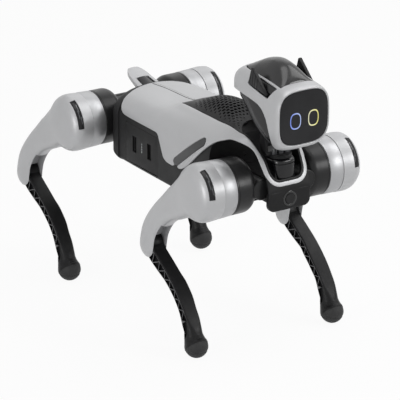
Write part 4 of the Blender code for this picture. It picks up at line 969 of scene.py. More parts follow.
RUBBER = finish("rubber", (0.030, 0.030, 0.0305), 0.62, 0.0, 700.0, 0.3, 0.18, 0.08, wear=0.3,
                wear_colour=(0.06, 0.06, 0.06), specular=0.28)
STEEL = finish("steel", (0.46, 0.46, 0.47), 0.30, 1.0, 1600.0, 0.06, 0.06, 0.08,
               stretch=(1.0, 6.0, 1.0))
BOARD = finish("circuit_board", (0.02, 0.09, 0.05), 0.45, 0.0, 600.0, 0.12, 0.2, 0.05)
SMOKE = finish("smoked_lens", (0.045, 0.046, 0.048), 0.20, 0.0, 260.0, 0.10, 0.35, 0.05,
               specular=0.35)
LENS = finish("light_lens", (0.10, 0.103, 0.11), 0.18, 0.0, 800.0, 0.03, 0.2, 0.04, coat=0.2)
EYE_GLOW = glow("eye_glow", ((0.0, (0.12, 0.22, 0.85)), (0.45, (0.45, 0.55, 0.80)),
                             (0.55, (0.75, 0.75, 0.55)), (1.0, (0.85, 0.78, 0.12))), 0.9)
LED_GLOW = glow("led_glow", ((0.0, (0.80, 0.84, 0.86)), (1.0, (0.80, 0.84, 0.86))), 1.2)
SLOTS = {"silver_paint": SILVER, "black_plastic": BLACK, "graphite_composite": GRAPHITE,
         "black_glass": GLASS, "rubber": RUBBER, "steel": STEEL, "circuit_board": BOARD}


def piece(name, made, slot, body, nodes=(), material=None, sharp=35.0):
    """Turns a working object into a named piece that rides on a body."""
    made.name = name
    made.data.name = name
    if not made.data.materials:
        made.data.materials.append(material or SLOTS[slot])
    made.data.shade_smooth()
    made.data.set_sharp_from_angle(angle=math.radians(sharp))
    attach(made, body)
    if nodes:
        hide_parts(*nodes)
    return made


# Trunk

OPEN_X = [x for x, _ in OPENING]
OPEN_HALF = [half for _, half in OPENING]
GRILLE_START = OPEN_X[0] + GRILLE_BACK
BELLY_Z = HIP_Z - BELLY_DROP
SHELL_INNER = SHELL_WALL + SHELL_SEAT


def skin_form(x, y):
    """What the modelled back adds to the plain skin: a faint roof and an edge by the grille."""
    half = np.interp(x, OPEN_X, OPEN_HALF)
    side = abs(y)
    roof = -SPINE_SLOPE * min(side, ROOF_HALF_WIDTH)
    start = smooth_step(OPEN_X[0] - 0.012, OPEN_X[0] + 0.014, x)
    end = 1 - smooth_step(FRONT_X - 0.060, FRONT_X - 0.005, x)
    return roof * (1 - smooth_step(FRONT_X - 0.03, FRONT_X + 0.02, x)) + (
        SHOULDER_LIFT * math.exp(-((side - half) / SHOULDER_REACH) ** 2) * start * end)


def skin_quarter(station, inset):
    """One cross line of the trunk skin, from the crown to the left spring line."""
    x, half, crown, spring, bow = station
    half -= inset
    rise = crown - spring - inset
    power = 2.0 / SHELL_EXPONENT
    points = []
    for i in range(SKIN_SAMPLES + 1):
        angle = math.pi / 2 * i / SKIN_SAMPLES
        y = half * math.sin(angle) ** power
        lift = max(math.cos(angle), 0.0) ** power if i < SKIN_SAMPLES else 0.0
        back = bow * (1 - (y / half) ** 2) * lift ** 2
        form = skin_form(x, y) * min(lift * FORM_FADE, 1.0)
        points.append((x - back, y, HIP_Z + spring + rise * lift + form))
    return points


def skin_row(station, count, inset=0.0):
    left = skin_quarter(station, inset)
    left.append((station[0], station[1] - inset, HIP_Z + station[3] - SKIRT_DROP))
    left = resampled(left, count).tolist()
    return left[::-1] + [(x, -y, z) for x, y, z in left[1:]]


def half_rows(rows, side):
    middle = len(rows[0]) // 2
    return [row[:middle + 1] if side > 0 else row[middle:] for row in rows]


def skin_height(x, y):
    """Height of the trunk skin over a point of the plan."""
    _, half, crown, spring, _ = between(SKIN, x)
    reach = min(abs(y) / half, 1.0)
    lift = (1 - reach ** SHELL_EXPONENT) ** (1 / SHELL_EXPONENT)
    form = skin_form(x, y) * min(lift * FORM_FADE, 1.0)
    return HIP_Z + spring + (crown - spring) * lift + form


def skirt_outline():
    edge = eased(SKIRT_EDGE, 110)
    floor = HIP_Z - 0.12
    start = edge[0][0] - 0.05
    return [(start, floor), (start, edge[0][1])] + edge + [(edge[-1][0] + 0.02, floor)]


def well_distance(points):
    """Distance from the opening for the grille and the neck, negative inside it."""
    x, y, z = points.T
    over = np.abs(y) - (np.interp(x, OPEN_X, OPEN_HALF) - WELL_ROUND)
    under = HIP_Z + OPENING_FLOOR + WELL_ROUND - z
    well = np.hypot(np.maximum(over, 0), np.maximum(under, 0))
    well += np.minimum(np.maximum(over, under), 0)
    return np.maximum(well - WELL_ROUND, OPEN_X[0] - x)


def light_distance(points):
    """Distance from the slanted windows in the skirts, negative inside them."""
    x, y, z = points.T
    away = polygon_distance(stadium(LIGHT_LOW, LIGHT_HIGH, LIGHT_HALF_WIDTH), x, z)
    return np.where(np.abs(y) > 0.06, away, 1.0)


def shell_keep(points):
    """Positive on the silver shell, negative in its openings."""
    x, y, z = points.T
    well = well_distance(points)
    skirt = polygon_distance(skirt_outline(), x, z)
    skirt = soft_max(skirt, ARCH_INNER_Y - np.abs(y), ARCH_BLEND)
    band = NOSE_BAND + 0.4 * (1 - smooth_step(FRONT_X + 0.012, FRONT_X + 0.040, x)) - well
    return np.minimum(np.minimum(well, skirt), np.minimum(light_distance(points), band))


def light_keep(points):
    return -light_distance(points) - LIGHT_GAP


def build_back_shell():
    stations, columns = SHELL_GRID
    rows = [skin_row(station, columns) for station in eased(SKIN, stations)]
    shell = trimmed_shell("back_shell", rows, shell_keep, SHELL_WALL, SHELL_ROLL)
    tree = tree_of(shell)
    piece("back_shell", shell, "silver_paint", "trunk", ["top_shell"], sharp=50)
    for side, label in SIDES:
        lens = trimmed_shell("lens", half_rows(rows, side), light_keep, LIGHT_WALL, FINE_ROLL)
        piece(label + "_light", lens, "black_glass", "trunk", [label + "_light_window"], SMOKE, 50)
    # The first strip is a dark sheet under the silver spine strip; its rims either side of the
    # strip are painted shade for the grooves.
    for name, half, rise, material in (("spine_groove_shade", 0.0029, 0.0002, POCKET_SHADE),
                                       ("spine_strip", 0.0018, 0.0005, SILVER)):
        left = [(half, -0.0008), (half, rise - SPINE_EDGE), (half - SPINE_EDGE, rise)]
        section = left + [(-y, lift) for y, lift in left[::-1]]
        strip = []
        for x in steps_from(SPINE_BACK, SPINE_BACK + SPINE_LENGTH, 49):
            top = tree.ray_cast(Vector((x, 0.0, 1.0)), Vector((0, 0, -1)))[0].z
            strip.append([(x, y, top + lift) for y, lift in section])
        piece(name, loft(strip), "silver_paint", "trunk", material=material)


def chassis_ring(station, inset, lift=0.0):
    x, half, _, _, _ = station
    over = resampled(skin_quarter(station, inset), 34).tolist()
    side = half - inset
    belly = BELLY_Z + lift
    corner = [(x, side, belly + BELLY_CHAMFER + 0.004)]
    start = Vector((side, belly + BELLY_CHAMFER))
    bend = Vector((side - 0.003, belly + 0.0045))
    end = Vector((BELLY_HALF_WIDTH - 0.004, belly))
    for share in steps_from(0.0, 1.0, 5):
        place = start.lerp(bend, share).lerp(bend.lerp(end, share), share)
        corner.append((x, place.x, place.y))
    left = over + corner + [(x, BELLY_HALF_WIDTH * 0.5, belly), (x, 0.0, belly)]
    return left + [(px, -py, pz) for px, py, pz in left[1:-1][::-1]]


def core(from_x, to_x):
    low = (min(from_x, to_x), -CORE_HALF_WIDTH, HIP_Z + CORE_TOP - CORE_DEPTH)
    high = (max(from_x, to_x), CORE_HALF_WIDTH, HIP_Z + CORE_TOP)
    return rounded(box(low, high), 0.003)


def motor_bore(hip_x, inward, side):
    mouth = hip_x + inward * (BULKHEAD_OFFSET - 0.02)
    back = hip_x + inward * (BULKHEAD_OFFSET + MOTOR_LENGTH + GAP)
    y = side * ABDUCTION_Y
    return rod(MOTOR_RADIUS + GAP, (mouth, y, HIP_Z), (back, y, HIP_Z))


def battery_side():
    return between(SKIN, BATTERY_MID_X)[1] - SHELL_INNER


def battery_box(clearance):
    """The battery, or with a clearance the room that it slides out of."""
    side = battery_side()
    half_x = BATTERY_LENGTH / 2 + clearance
    half_z = BATTERY_HEIGHT / 2 + clearance
    mouth = BATTERY_MOUTH if clearance else 0.0
    return box((BATTERY_MID_X - half_x, -side - mouth, BATTERY_MID_Z - half_z),
               (BATTERY_MID_X + half_x, BATTERY_REACH - side + clearance, BATTERY_MID_Z + half_z))


def trunk_loft():
    x, *rest = SKIN[0]
    front = FRONT_X - BULKHEAD_OFFSET
    rings = []
    for back, bow, inset in eased(REAR_RIM, 16):
        lift = REAR_LIFT * (1 - math.sqrt(max(1 - (back / REAR_RIM[0][0]) ** 2, 0.0)))
        rings.append(chassis_ring((x - back, *rest[:3], bow), inset, lift))
    rings.append(chassis_ring((x - 0.0006, *rest), SHELL_INNER))
    rings += [chassis_ring(station, SHELL_INNER) for station in eased(SKIN, 60)
              if x + RING_MARGIN < station[0] < front - RING_MARGIN]
    rings.append(chassis_ring(between(SKIN, front), SHELL_INNER))
    return loft(rings)


def board_bay():
    x = FRONT_X - BOARD_BACK
    half_x, half_y = (size / 2 + BOARD_ROOM for size in BOARD_SIZE)
    return box((x - half_x, -half_y, HIP_Z + BOARD_Z - GAP), (x + half_x, half_y, CUT_TOP))


def build_trunk_frame():
    front = FRONT_X - BULKHEAD_OFFSET
    rear = REAR_X + BULKHEAD_OFFSET
    trunk = joined(trunk_loft(), core(front - 0.01, FRONT_X + CORE_REACH),
                   core(rear + 0.01, REAR_X - CORE_REACH))
    back = OPEN_X[0] - 0.001
    ahead = FRONT_X - 0.0311
    outline = [(back, -0.029), (ahead, -0.043), (ahead, 0.043), (back, 0.029)]
    speaker_x = FRONT_X - SPEAKER_BACK
    rooms = [prism(outline, HIP_Z + GRILLE_WELL, CUT_TOP, "Z")]
    rooms += [motor_bore(hip_x, inward, side) for hip_x, _, inward in HIPS for side, _ in SIDES]
    rooms += [board_bay(), rod(SPEAKER_RADIUS + GAP, (speaker_x, 0, HIP_Z + SPEAKER_FLOOR),
                               (speaker_x, 0, CUT_TOP)),
              tail_shape(GAP), battery_box(SLIDE_GAP)]
    for room in rooms:
        trunk = cut(trunk, room)
    grooves = []
    for i in range(7):
        x = REAR_X + 0.1600 + 0.012 * (i - 3)
        outline = stadium((x, -0.035), (x, 0.035), 0.0022, 8)
        grooves.append(prism(outline, BELLY_Z - 0.01, BELLY_Z + 0.0016, "Z"))
    piece("trunk_frame", cut(trunk, *grooves), "black_plastic", "trunk", ["chassis"])


def screw(centre, facing):
    """A domed socket screw."""
    r = SCREW_RADIUS
    profile = [(-0.0012, 0.0), (-0.0012, r), (0.0006, r), (0.0012, r * 0.82), (0.0014, r * 0.55),
               (0.0014, r * 0.48), (0.0004, r * 0.48), (0.0004, 0.0)]
    return moved(turned(profile, "Z", 24), Matrix.Translation(centre) @ turn_to(facing))


def build_screws():
    made = []
    for x in (REAR_X + 0.085, REAR_X + 0.2225, FRONT_X - 0.085):
        for y in (-0.058, 0.058):
            made.append(screw((x, y, BELLY_Z), (0, 0, -1)))
    for hip_x, _, inward in HIPS:
        x = hip_x + inward * BULKHEAD_OFFSET
        for y in (-0.083, -0.013, 0.013, 0.083):
            for z in (HIP_Z - 0.048, HIP_Z + 0.028):
                if abs(y) > 0.05 or z > HIP_Z:
                    made.append(screw((x, y, z), (-inward, 0, 0)))
    rear = REAR_X - CORE_REACH - GAP - PLATE_THICKNESS
    for y in (-0.034, 0.034):
        for z in (HIP_Z + 0.002, HIP_Z - 0.028):
            made.append(screw((rear, y, z), (-1, 0, 0)))
    piece("trunk_screws", merged("trunk_screws", made), "steel", "trunk", material=GRAPHITE)


def build_motors():
    r, flange = MOTOR_RADIUS, MOTOR_FLANGE_RADIUS
    tip = BULKHEAD_OFFSET - PIVOT_HALF_LENGTH - GAP
    profile = [(-tip, 0.0), (-tip, flange - 0.001), (0.001 - tip, flange), (-0.0004, flange),
               (0.0, flange + 0.001), (0.0, r - 0.0008), (0.0008, r)]
    for i in range(5):
        place = 0.008 + 0.006 * i
        profile += [(place, r), (place + 0.0006, r - 0.0012), (place + 0.0024, r - 0.0012),
                    (place + 0.003, r)]
    profile += [(MOTOR_LENGTH - 0.001, r), (MOTOR_LENGTH, r - 0.001), (MOTOR_LENGTH, 0.0)]
    for hip_x, end, inward in HIPS:
        for side, label in SIDES:
            motor = turned([(place * inward, radius) for place, radius in profile], "X", 48)
            placed(motor, hip_x + inward * BULKHEAD_OFFSET, side * ABDUCTION_Y, HIP_Z)
            piece(f"{end}_{label}_motor_can", motor, "graphite_composite", "trunk",
                  [f"{end}_{label}_hip_motor"])


def grille_front(v):
    """Front edge of the grille, which runs forward at its sides."""
    return FRONT_X + GRILLE_FRONT_MID + (GRILLE_FRONT_SIDE - GRILLE_FRONT_MID) * v * v


def grille_point(u, v):
    """A point of the domed grille: u runs from back to front, v from side to side."""
    x = GRILLE_START + u * (grille_front(v) - GRILLE_START)
    half = between(OPENING, x)[1] - 2 * GAP
    dome = math.sin(math.pi * u ** 1.4) ** 0.9 if 0 < u < 1 else 0.0
    return x, v * half, skin_height(x, half) + GRILLE_RISE * dome * (1 - v * v)


def hole_distance(points):
    """Distance from the slanted holes of the grille, negative inside them.

    The holes stand in staggered rows, and shrink towards the rim of the panel.
    """
    x, y, _ = points.T
    pitch_x, pitch_y = GRILLE_PITCH
    row = np.rint((x - GRILLE_START) / pitch_x)
    shift = 0.5 * (row % 2)
    hole_x = GRILLE_START + row * pitch_x
    hole_y = (np.rint(y / pitch_y - shift) + shift) * pitch_y
    v = hole_y / np.interp(hole_x, OPEN_X, OPEN_HALF)
    u = (hole_x - GRILLE_START) / (grille_front(v) - GRILLE_START)
    size = np.minimum(smooth_step(0.08, 0.46, u), 1 - smooth_step(0.80, 1.02, u))
    size = np.minimum(size, 1 - smooth_step(0.55, 1.0, np.abs(v)))
    across = y - hole_y
    slanted = x - hole_x + GRILLE_SLANT * across
    long, wide = GRILLE_HOLE
    reach = 0.35 + 0.65 * size
    away = np.maximum(np.abs(slanted) - reach * long / 2, np.abs(across) - reach * wide / 2)
    return np.where(size > SMALLEST_HOLE, away, 0.01)


def build_grille():
    steps_u, steps_v = GRILLE_GRID
    rows = [[grille_point(i / steps_u, 1 - 2 * j / steps_v) for j in range(steps_v + 1)]
            for i in range(steps_u + 1)]
    panel = trimmed_shell("speaker_grille", rows, hole_distance, GRILLE_WALL, 0.0003)
    piece("speaker_grille", panel, "graphite_composite", "trunk", ["grille_panel"], GRILLE_GREY, 50)


def nose_rows(start, count, inset):
    return [skin_row(station, count, inset) for station in eased(SKIN, 150)
            if station[0] > FRONT_X + start]


def liner_keep(points):
    well = well_distance(points)
    return np.minimum(-well, well + LINER_WIDTH)


def build_liners():
    """Dark lining along the edge of the neck opening, one strip a side."""
    rows = nose_rows(-0.012, 110, LINER_INSET)
    for side, label in SIDES:
        liner = trimmed_shell("liner", half_rows(rows, side), liner_keep, LINER_WALL, FINE_ROLL)
        piece(label + "_liner", liner, "graphite_composite", "trunk", [label + "_neck_collar"],
              sharp=50)


def apron_keep(points):
    side = APRON_HALF_WIDTH - np.abs(points[:, 1])
    height = points[:, 2] - HIP_Z + APRON_DROP
    return np.minimum(np.minimum(well_distance(points) - 0.004, side), height)


def build_apron():
    """Black nose round the lower edge of the neck opening, just under the silver band."""
    return trimmed_shell("apron", nose_rows(0.036, 90, APRON_INSET), apron_keep, APRON_WALL, 0.0008)


def plate_outline(top, crown):
    """A plate with rounded corners, the upper ones by the crown radius."""
    points = []
    for side, edge, radius, start in ((1, top, crown, 0.0), (-1, top, crown, 0.5),
                                      (-1, PLATE_BOTTOM, PLATE_ROUND, 1.0),
                                      (1, PLATE_BOTTOM, PLATE_ROUND, 1.5)):
        height = HIP_Z + edge + (-radius if edge == top else radius)
        centre = (side * (PLATE_HALF_WIDTH - radius), height)
        points += arc(centre, radius, math.pi * start, math.pi * (start + 0.5), 12)
    return points


def build_plates():
    front = FRONT_X + CORE_REACH + GAP
    face = front + PLATE_THICKNESS
    z = HIP_Z - BUTTON_DROP
    plate = prism(plate_outline(PLATE_TOP, 0.010), front, face, "X")
    seat = rod(BEZEL_RADIUS + GAP, (face - BEZEL_HEIGHT, 0, z), (face + 0.01, 0, z))
    chest = merged("chest_plate", [cut(rounded(plate, PLATE_EDGE, 4), seat), build_apron()])
    # The chest plate is black plastic drawn with the darker graphite finish: painted shade that
    # keeps its lamp-lit front darker than the trunk's sides.
    piece("chest_plate", chest, "black_plastic", "trunk", ["chest_panel"], GRAPHITE)
    bore = BUTTON_RADIUS + SLIDE_GAP
    r, tall = BEZEL_RADIUS, BEZEL_HEIGHT
    profile = [(0.0, bore), (0.0, r), (tall - 0.0004, r), (tall + 0.0002, r - 0.0003),
               (tall + 0.0006, r - 0.0012), (tall + 0.0006, bore + 0.0012),
               (tall + 0.0002, bore + 0.0003), (tall - 0.0004, bore), (0.0, bore)]
    seat = face - BEZEL_HEIGHT + GAP
    ring = placed(turned(profile, "X"), seat, 0, z)
    piece("power_ring", ring, "graphite_composite", "trunk", ["button_bezel"], TINT)
    r, tall = BUTTON_RADIUS, BUTTON_HEIGHT - BUTTON_TRAVEL
    profile = [(0.0, 0.0), (0.0, r), (tall - 0.0007, r), (tall - 0.0002, r - 0.0003),
               (tall, r - 0.0010), (tall - 0.0001, r - 0.0030), (tall - 0.0005, r - 0.0055),
               (tall - 0.0006, 0.0)]
    button = placed(turned(profile, "X"), seat + BUTTON_TRAVEL + GAP, 0, z)
    piece("power_button", button, "black_plastic", "chest_button", ["chest_button"])
    rear = REAR_X - CORE_REACH - GAP
    plate = prism(plate_outline(REAR_PLATE_TOP, 0.006), rear - PLATE_THICKNESS, rear, "X")
    piece("rear_plate", rounded(plate, PLATE_EDGE, 4), "black_plastic", "trunk", ["rear_panel"])


def build_battery():
    pack = rounded(battery_box(0.0), 0.0016)
    width, tall, deep = LATCH_SLOT
    wide, reach, thick = LATCH_PAD
    face = -battery_side()
    floor = face + deep
    z = BATTERY_MID_Z + 0.001
    latches = [(sign, label, BATTERY_MID_X + sign * LATCH_SPACING / 2)
               for sign, label in ((-1, "rear"), (1, "front"))]
    for _, _, x in latches:
        pack = cut(pack, box((x - width / 2, face - 0.01, z - tall / 2),
                             (x + width / 2, floor, z + tall / 2)))
    piece("battery_case", pack, "black_plastic", "battery", ["battery_pack"])
    for sign, label, x in latches:
        outer = x + sign * (width / 2 - GAP)
        left, right = sorted((outer, outer - sign * wide))
        front = floor - GAP - thick
        latch = box((left, front, z - reach / 2), (right, floor - GAP, z + reach / 2))
        grooves = [box((left - 0.001, front - 0.001, middle - 0.0006),
                       (right + 0.001, front + 0.0008, middle + 0.0006))
                   for middle in steps_from(z - 0.0072, z + 0.0072, 4)]
        # The pads are drawn near-black: painted shade for the deep latch slots.
        piece(label + "_latch_pad", cut(rounded(latch, 0.0009), *grooves), "graphite_composite",
              label + "_latch", [label + "_battery_latch"], POCKET_SHADE)
    dome = [(0.0004, 0.0), (0.0004, 0.0009), (-0.0003, 0.0008), (-0.0005, 0.0005), (-0.0006, 0.0)]
    dots = [placed(turned(dome, "Y", 16), BATTERY_MID_X, face, z - 0.0075 + 0.005 * i)
            for i in range(4)]
    piece("charge_lights", merged("charge_lights", dots), "black_glass", "battery",
          material=LED_GLOW)


def tail_section(share, thickness, lift, shrink):
    """One cross section of the tail, from its root to its tip."""
    x = REAR_X + TAIL_BACK - share * TAIL_LENGTH
    half = (TAIL_ROOT_WIDTH + (TAIL_TIP_WIDTH - TAIL_ROOT_WIDTH) * share) / 2 - shrink
    half -= 0.007 * max((share - 0.6) / 0.4, 0.0) ** 3
    top = HIP_Z + TAIL_TOP - 0.006 + TAIL_RISE * max(share, 0.0) ** 1.2 + lift
    crown = 0.0035 * (1 - share) + 0.001
    upper = []
    lower = []
    for i in range(25):
        v = math.sin(math.pi * (0.5 - i / 24))
        soft = 0.0012 * (1 - min((1 - v * v) ** 0.5 * 4, 1.0))
        height = top + crown * (1 - v * v)
        upper.append((x, half * v, height - soft))
        lower.append((x, half * v, height - thickness + soft))
    return upper + lower[::-1]


def tail_shape(clearance=0.0):
    """The tail, or with a clearance the room for its root."""
    tongue = -(TAIL_TONGUE + (GAP if clearance else 0.0)) / TAIL_LENGTH
    rings = []
    for share in steps_from(tongue, 0.5 if clearance else 1.0, 30):
        thin = TAIL_THICKNESS * (1 - 0.25 * max(share, 0.0))
        thin *= 1 - 0.6 * max((share - 0.88) / 0.12, 0.0) ** 2
        rings.append(tail_section(share, thin + 2 * clearance, clearance, -clearance))
    return loft(rings)


def tail_strip(start, end, thickness, lift, shrink):
    return loft([tail_section(share, thickness, lift, shrink - 0.001 * share)
                 for share in steps_from(start, end, 12)])


def build_tail():
    recess = tail_strip(0.06, 0.50, 0.004, 0.002, 0.0085)
    blade = cut(tail_shape(), recess)
    piece("tail_blade", blade, "silver_paint", "trunk", ["tail_fin"], sharp=50)
    glass = tail_strip(0.068, 0.492, 0.0014, -0.0002, 0.0090)
    piece("tail_glass", glass, "black_glass", "trunk", ["tail_inlay"])


# Neck and head

def pin_hole():
    return cross_rod(PITCH_PIN_RADIUS + GAP, PITCH_X, PITCH_Z, 0.05, 36)


def build_neck():
    floor = HIP_Z + CORE_TOP + GAP
    length, width, height = NECK_BASE
    section = oval(1.0, 1.0, NECK_EXPONENT, NECK_EXPONENT, ROUND)
    rings = []
    for share, shrink in NECK_LINE:
        half_x, half_y = length / 2 - shrink, width / 2 - shrink
        z = floor + height * share
        rings.append([(NECK_X + half_x * u, half_y * v, z) for u, v in section])
    piece("neck_block", loft(rings), "black_plastic", "trunk", ["neck_base"], GLOSS)
    yaw_z = floor + height + GAP
    r, tall = TURNTABLE_RADIUS, TURNTABLE_HEIGHT
    profile = [(0.0, 0.0), (0.0, r - 0.0006), (0.0006, r), (0.0022, r), (0.0026, r - 0.0006),
               (0.0030, r), (tall - 0.0008, r), (tall, r - 0.0008), (tall, 0.0)]
    fork = placed(turned(profile, "Z"), NECK_X, 0, yaw_z)
    half = YOKE_HALF_WIDTH
    back, front = PITCH_X - YOKE_RADIUS, PITCH_X + YOKE_RADIUS
    bridge_low = yaw_z + TURNTABLE_HEIGHT - 0.001
    bridge_top = yaw_z + TURNTABLE_HEIGHT + 0.006
    bridge = box((back - 0.001, 0.0006 - half, bridge_low),
                 (front + 0.005, half - 0.0006, bridge_top))
    fork = joined(fork, rounded(bridge, 0.0012))
    foot = bridge_top - 0.004
    outline = [(back, foot), (front + 0.004, foot)]
    outline += arc((PITCH_X, PITCH_Z), YOKE_RADIUS, 0.0, math.pi, 24)
    for side, _ in SIDES:
        cheek = prism(outline, *span(side, half - YOKE_CHEEK, half))
        fork = joined(fork, rounded(cheek, 0.0008))
    swing = rod(NECK_SWING, (NECK_X, 0, floor), (NECK_X, 0, PITCH_Z + 2 * YOKE_RADIUS))
    fork = cut(combined(fork, [swing], "INTERSECT"), pin_hole())
    piece("neck_fork", fork, "graphite_composite", "neck", ["neck_yoke"])
    clips = []
    x = front + 0.0045
    for y in (-0.0185, -0.0045, 0.0095):
        clip = box((x, y, bridge_low + 0.0004), (x + 0.0040, y + 0.0090, bridge_top + 0.0045))
        notch = box((x + 0.0022, y + 0.0028, bridge_low + 0.0026),
                    (x + 0.01, y + 0.0062, bridge_top + 0.01))
        clips.append(cut(rounded(clip, 0.0008), notch))
    piece("neck_clips", merged("neck_clips", clips), "graphite_composite", "neck", material=LENS)
    r = PITCH_PIN_RADIUS
    end = [(half - 0.0006, r), (half, r - 0.0006), (half, 0.0022), (half - 0.0010, 0.0018),
           (half, 0.0)]
    profile = [(-place, radius) for place, radius in end[::-1]] + end
    pin = placed(turned(profile, "Y", 36), PITCH_X, 0, PITCH_Z)
    piece("nod_pin", pin, "steel", "neck", ["pitch_axle"])


def head_section(station, inset=0.0):
    x, half, top, bottom, over, under = station
    middle = (top + bottom) / 2
    section = oval(half - inset, (top - bottom) / 2 - inset, over, under, 180)
    return [(x, y, middle + z) for y, z in section]


def head_station(x):
    return between(HEAD[::-1], x)


def head_top(x, y, inset=0.0):
    _, half, top, bottom, bend, _ = head_station(x)
    tall = (top - bottom) / 2 - inset
    reach = min(abs(y) / (half - inset), 1.0)
    return (top + bottom) / 2 + tall * (1 - reach ** bend) ** (1 / bend)


def offset_outline(outline):
    return [(FRONT_X + x, HIP_Z + z) for x, z in outline]


def cap_outline(margin):
    half = CAP_HALF_WIDTH + margin
    back = FRONT_X + CAP_BACK - margin
    left = [(FRONT_X + CAP_FRONT + margin, half)]
    for angle in steps_from(0.0, math.pi / 2, 16):
        left.append((back + 0.03 * (1 - math.sin(angle)), half - CAP_TAPER * (1 - math.cos(angle))))
    return left + [(x, -y) for x, y in left[::-1]]


def head_keep(points):
    """Positive on the silver head frame, negative in its openings."""
    x, y, z = points.T
    cap = np.maximum(polygon_distance(cap_outline(GAP), x, y), HIP_Z + 0.18 - z)
    smooth_edge = eased(CHEEK_EDGE[:8], 60) + list(CHEEK_EDGE[8:])
    cheek = polygon_distance(offset_outline(smooth_edge), x, z)
    ear = polygon_distance(offset_outline(EAR_WINDOW), x, z)
    ear = np.maximum(ear, CAP_HALF_WIDTH + CAP_STRIPE - np.abs(y))
    return np.minimum(np.minimum(cap, cheek), ear)


def cheek_point(point):
    """Draws the black cheeks in away from their crease, so that each shows two facets."""
    x, y, z = point
    away = 1.0
    crease = offset_outline(CHEEK_CREASE)
    for (ax, az), (bx, bz) in zip(crease, crease[1:]):
        run = Vector((bx - ax, bz - az))
        share = min(max((Vector((x - ax, z - az)).dot(run)) / run.length_squared, 0.0), 1.0)
        away = min(away, math.hypot(x - ax - run.x * share, z - az - run.y * share))
    side = smooth_step(0.030, 0.045, abs(y)) * (1 - smooth_step(HIP_Z + 0.172, HIP_Z + 0.186, z))
    return x, math.copysign(abs(y) - min(CHEEK_SLOPE * away, CHEEK_DEPTH) * side, y), z


def build_head():
    stations = eased(HEAD, 110)
    rows = [head_section(station) for station in stations]
    last_x, *rest = stations[-1]
    for back, inset in ((0.0012, 0.004), (0.0020, 0.010), (0.0023, 0.018)):
        rows.append(head_section((last_x - back, *rest), inset))
    shell = trimmed_shell("head_frame", rows, head_keep, HEAD_WALL, 0.0008, closed=True)
    piece("head_frame", shell, "silver_paint", "head", ["head_shell"], sharp=50)
    display_back = HEAD[0][0] - DISPLAY_THICKNESS + 0.002
    build_head_body(display_back)
    build_visor()
    build_display(display_back)
    for side, label in SIDES:
        outer = EAR_INNER_Y + EAR_THICKNESS
        ear = prism(offset_outline(EAR_OUTLINE), *span(side, EAR_INNER_Y, outer))
        ridges = []
        for i in range(4):
            x = 0.014 + 0.0075 * i
            ridge = [(x, 0.18), (x + 0.0015, 0.18), (x + 0.0095, 0.235), (x + 0.0080, 0.235)]
            ridges.append(prism(offset_outline(ridge), *span(side, outer - 0.0008, EAR_CUT_Y)))
        piece(label + "_ear_flap", cut(rounded(ear, 0.0014, 4), *ridges), "graphite_composite",
              "head", [label + "_ear"])


def build_head_body(display_back):
    """Black core of the head, with the room for the neck's fork."""
    seat = HEAD_WALL + SHELL_SEAT
    rings = [head_section(head_station(display_back - GAP), seat + 0.0012)]
    rings += [head_section(station, seat + 0.0004) for station in eased(HEAD[1:-2], 40)
              if station[0] < display_back - 0.002]
    for back, inset in ((0.0045, 0.0010), (0.0085, 0.0022), (0.0125, 0.0070)):
        rings.append(head_section(head_station(HEAD[-3][0] - back), seat + inset))
    body = loft([[cheek_point(point) for point in ring] for ring in rings])
    room = YOKE_HALF_WIDTH + SLIDE_GAP
    ceiling = PITCH_Z + YOKE_RADIUS + 0.0015
    body = cut(body, box((PITCH_X - YOKE_SWING, -room, HIP_Z),
                         (PITCH_X + YOKE_SWING, room, ceiling)))
    reach = YOKE_HALF_WIDTH - YOKE_CHEEK - SLIDE_GAP
    body = joined(body, cross_rod(BARREL_RADIUS, PITCH_X, PITCH_Z, reach))
    for side, _ in SIDES:
        window = prism(offset_outline(EAR_WINDOW), *span(side, EAR_INNER_Y - GAP, EAR_CUT_Y))
        body = cut(body, window)
    piece("head_body", cut(body, pin_hole()), "black_plastic", "head", ["head_core"], GLOSS)


def build_visor():
    rings = []
    for share in steps_from(0.0, 1.0, 60):
        x = FRONT_X + CAP_BACK + (CAP_FRONT - CAP_BACK) * share
        half = CAP_HALF_WIDTH - CAP_TAPER * max(0.0, 1 - share * 4) ** 2
        rise = CAP_RISE * max(math.sin(math.pi * share ** 1.35), 0.0) ** 0.75
        upper = []
        lower = []
        for turn in steps_from(0.5, -0.5, 36):
            v = math.sin(math.pi * turn)
            y = half * v
            under = head_top(x, y, HEAD_WALL + SHELL_SEAT) + SHELL_SEAT + 3 * GAP
            upper.append((x, y, head_top(x, y) + rise * (1 - v * v) - 0.0002))
            lower.append((x, y, under))
        rings.append(upper + lower[::-1])
    piece("head_visor", loft(rings), "black_plastic", "head", ["head_cap"], TINT)


def display_face(share):
    """Place along X of the domed display, at a share of the way from its middle to its rim."""
    return HEAD[0][0] + 0.0004 + DISPLAY_DOME * (1 - share * share)


def eye_loop(side, middle):
    """A rounded loop on the display."""
    rings = []
    for i in range(64):
        angle = 2 * math.pi * i / 64
        across = EYE_HALF[0] * signed_power(math.cos(angle), 2 / EYE_EXPONENT)
        up = EYE_HALF[1] * signed_power(math.sin(angle), 2 / EYE_EXPONENT)
        ring = []
        for j in range(8):
            turn = 2 * math.pi * j / 8
            reach = 1 + 0.085 * math.cos(turn)
            y = side * EYE_Y + across * reach
            z = middle - 0.004 + up * reach
            share = max(abs(y), abs(z - middle)) / 0.050
            ring.append((display_face(share) + 0.00035 * math.sin(turn), y, z))
        rings.append(ring)
    loop = loft(rings + [rings[0]], capped=False)
    return edited(loop, lambda shape: bmesh.ops.remove_doubles(shape, verts=shape.verts, dist=1e-7))


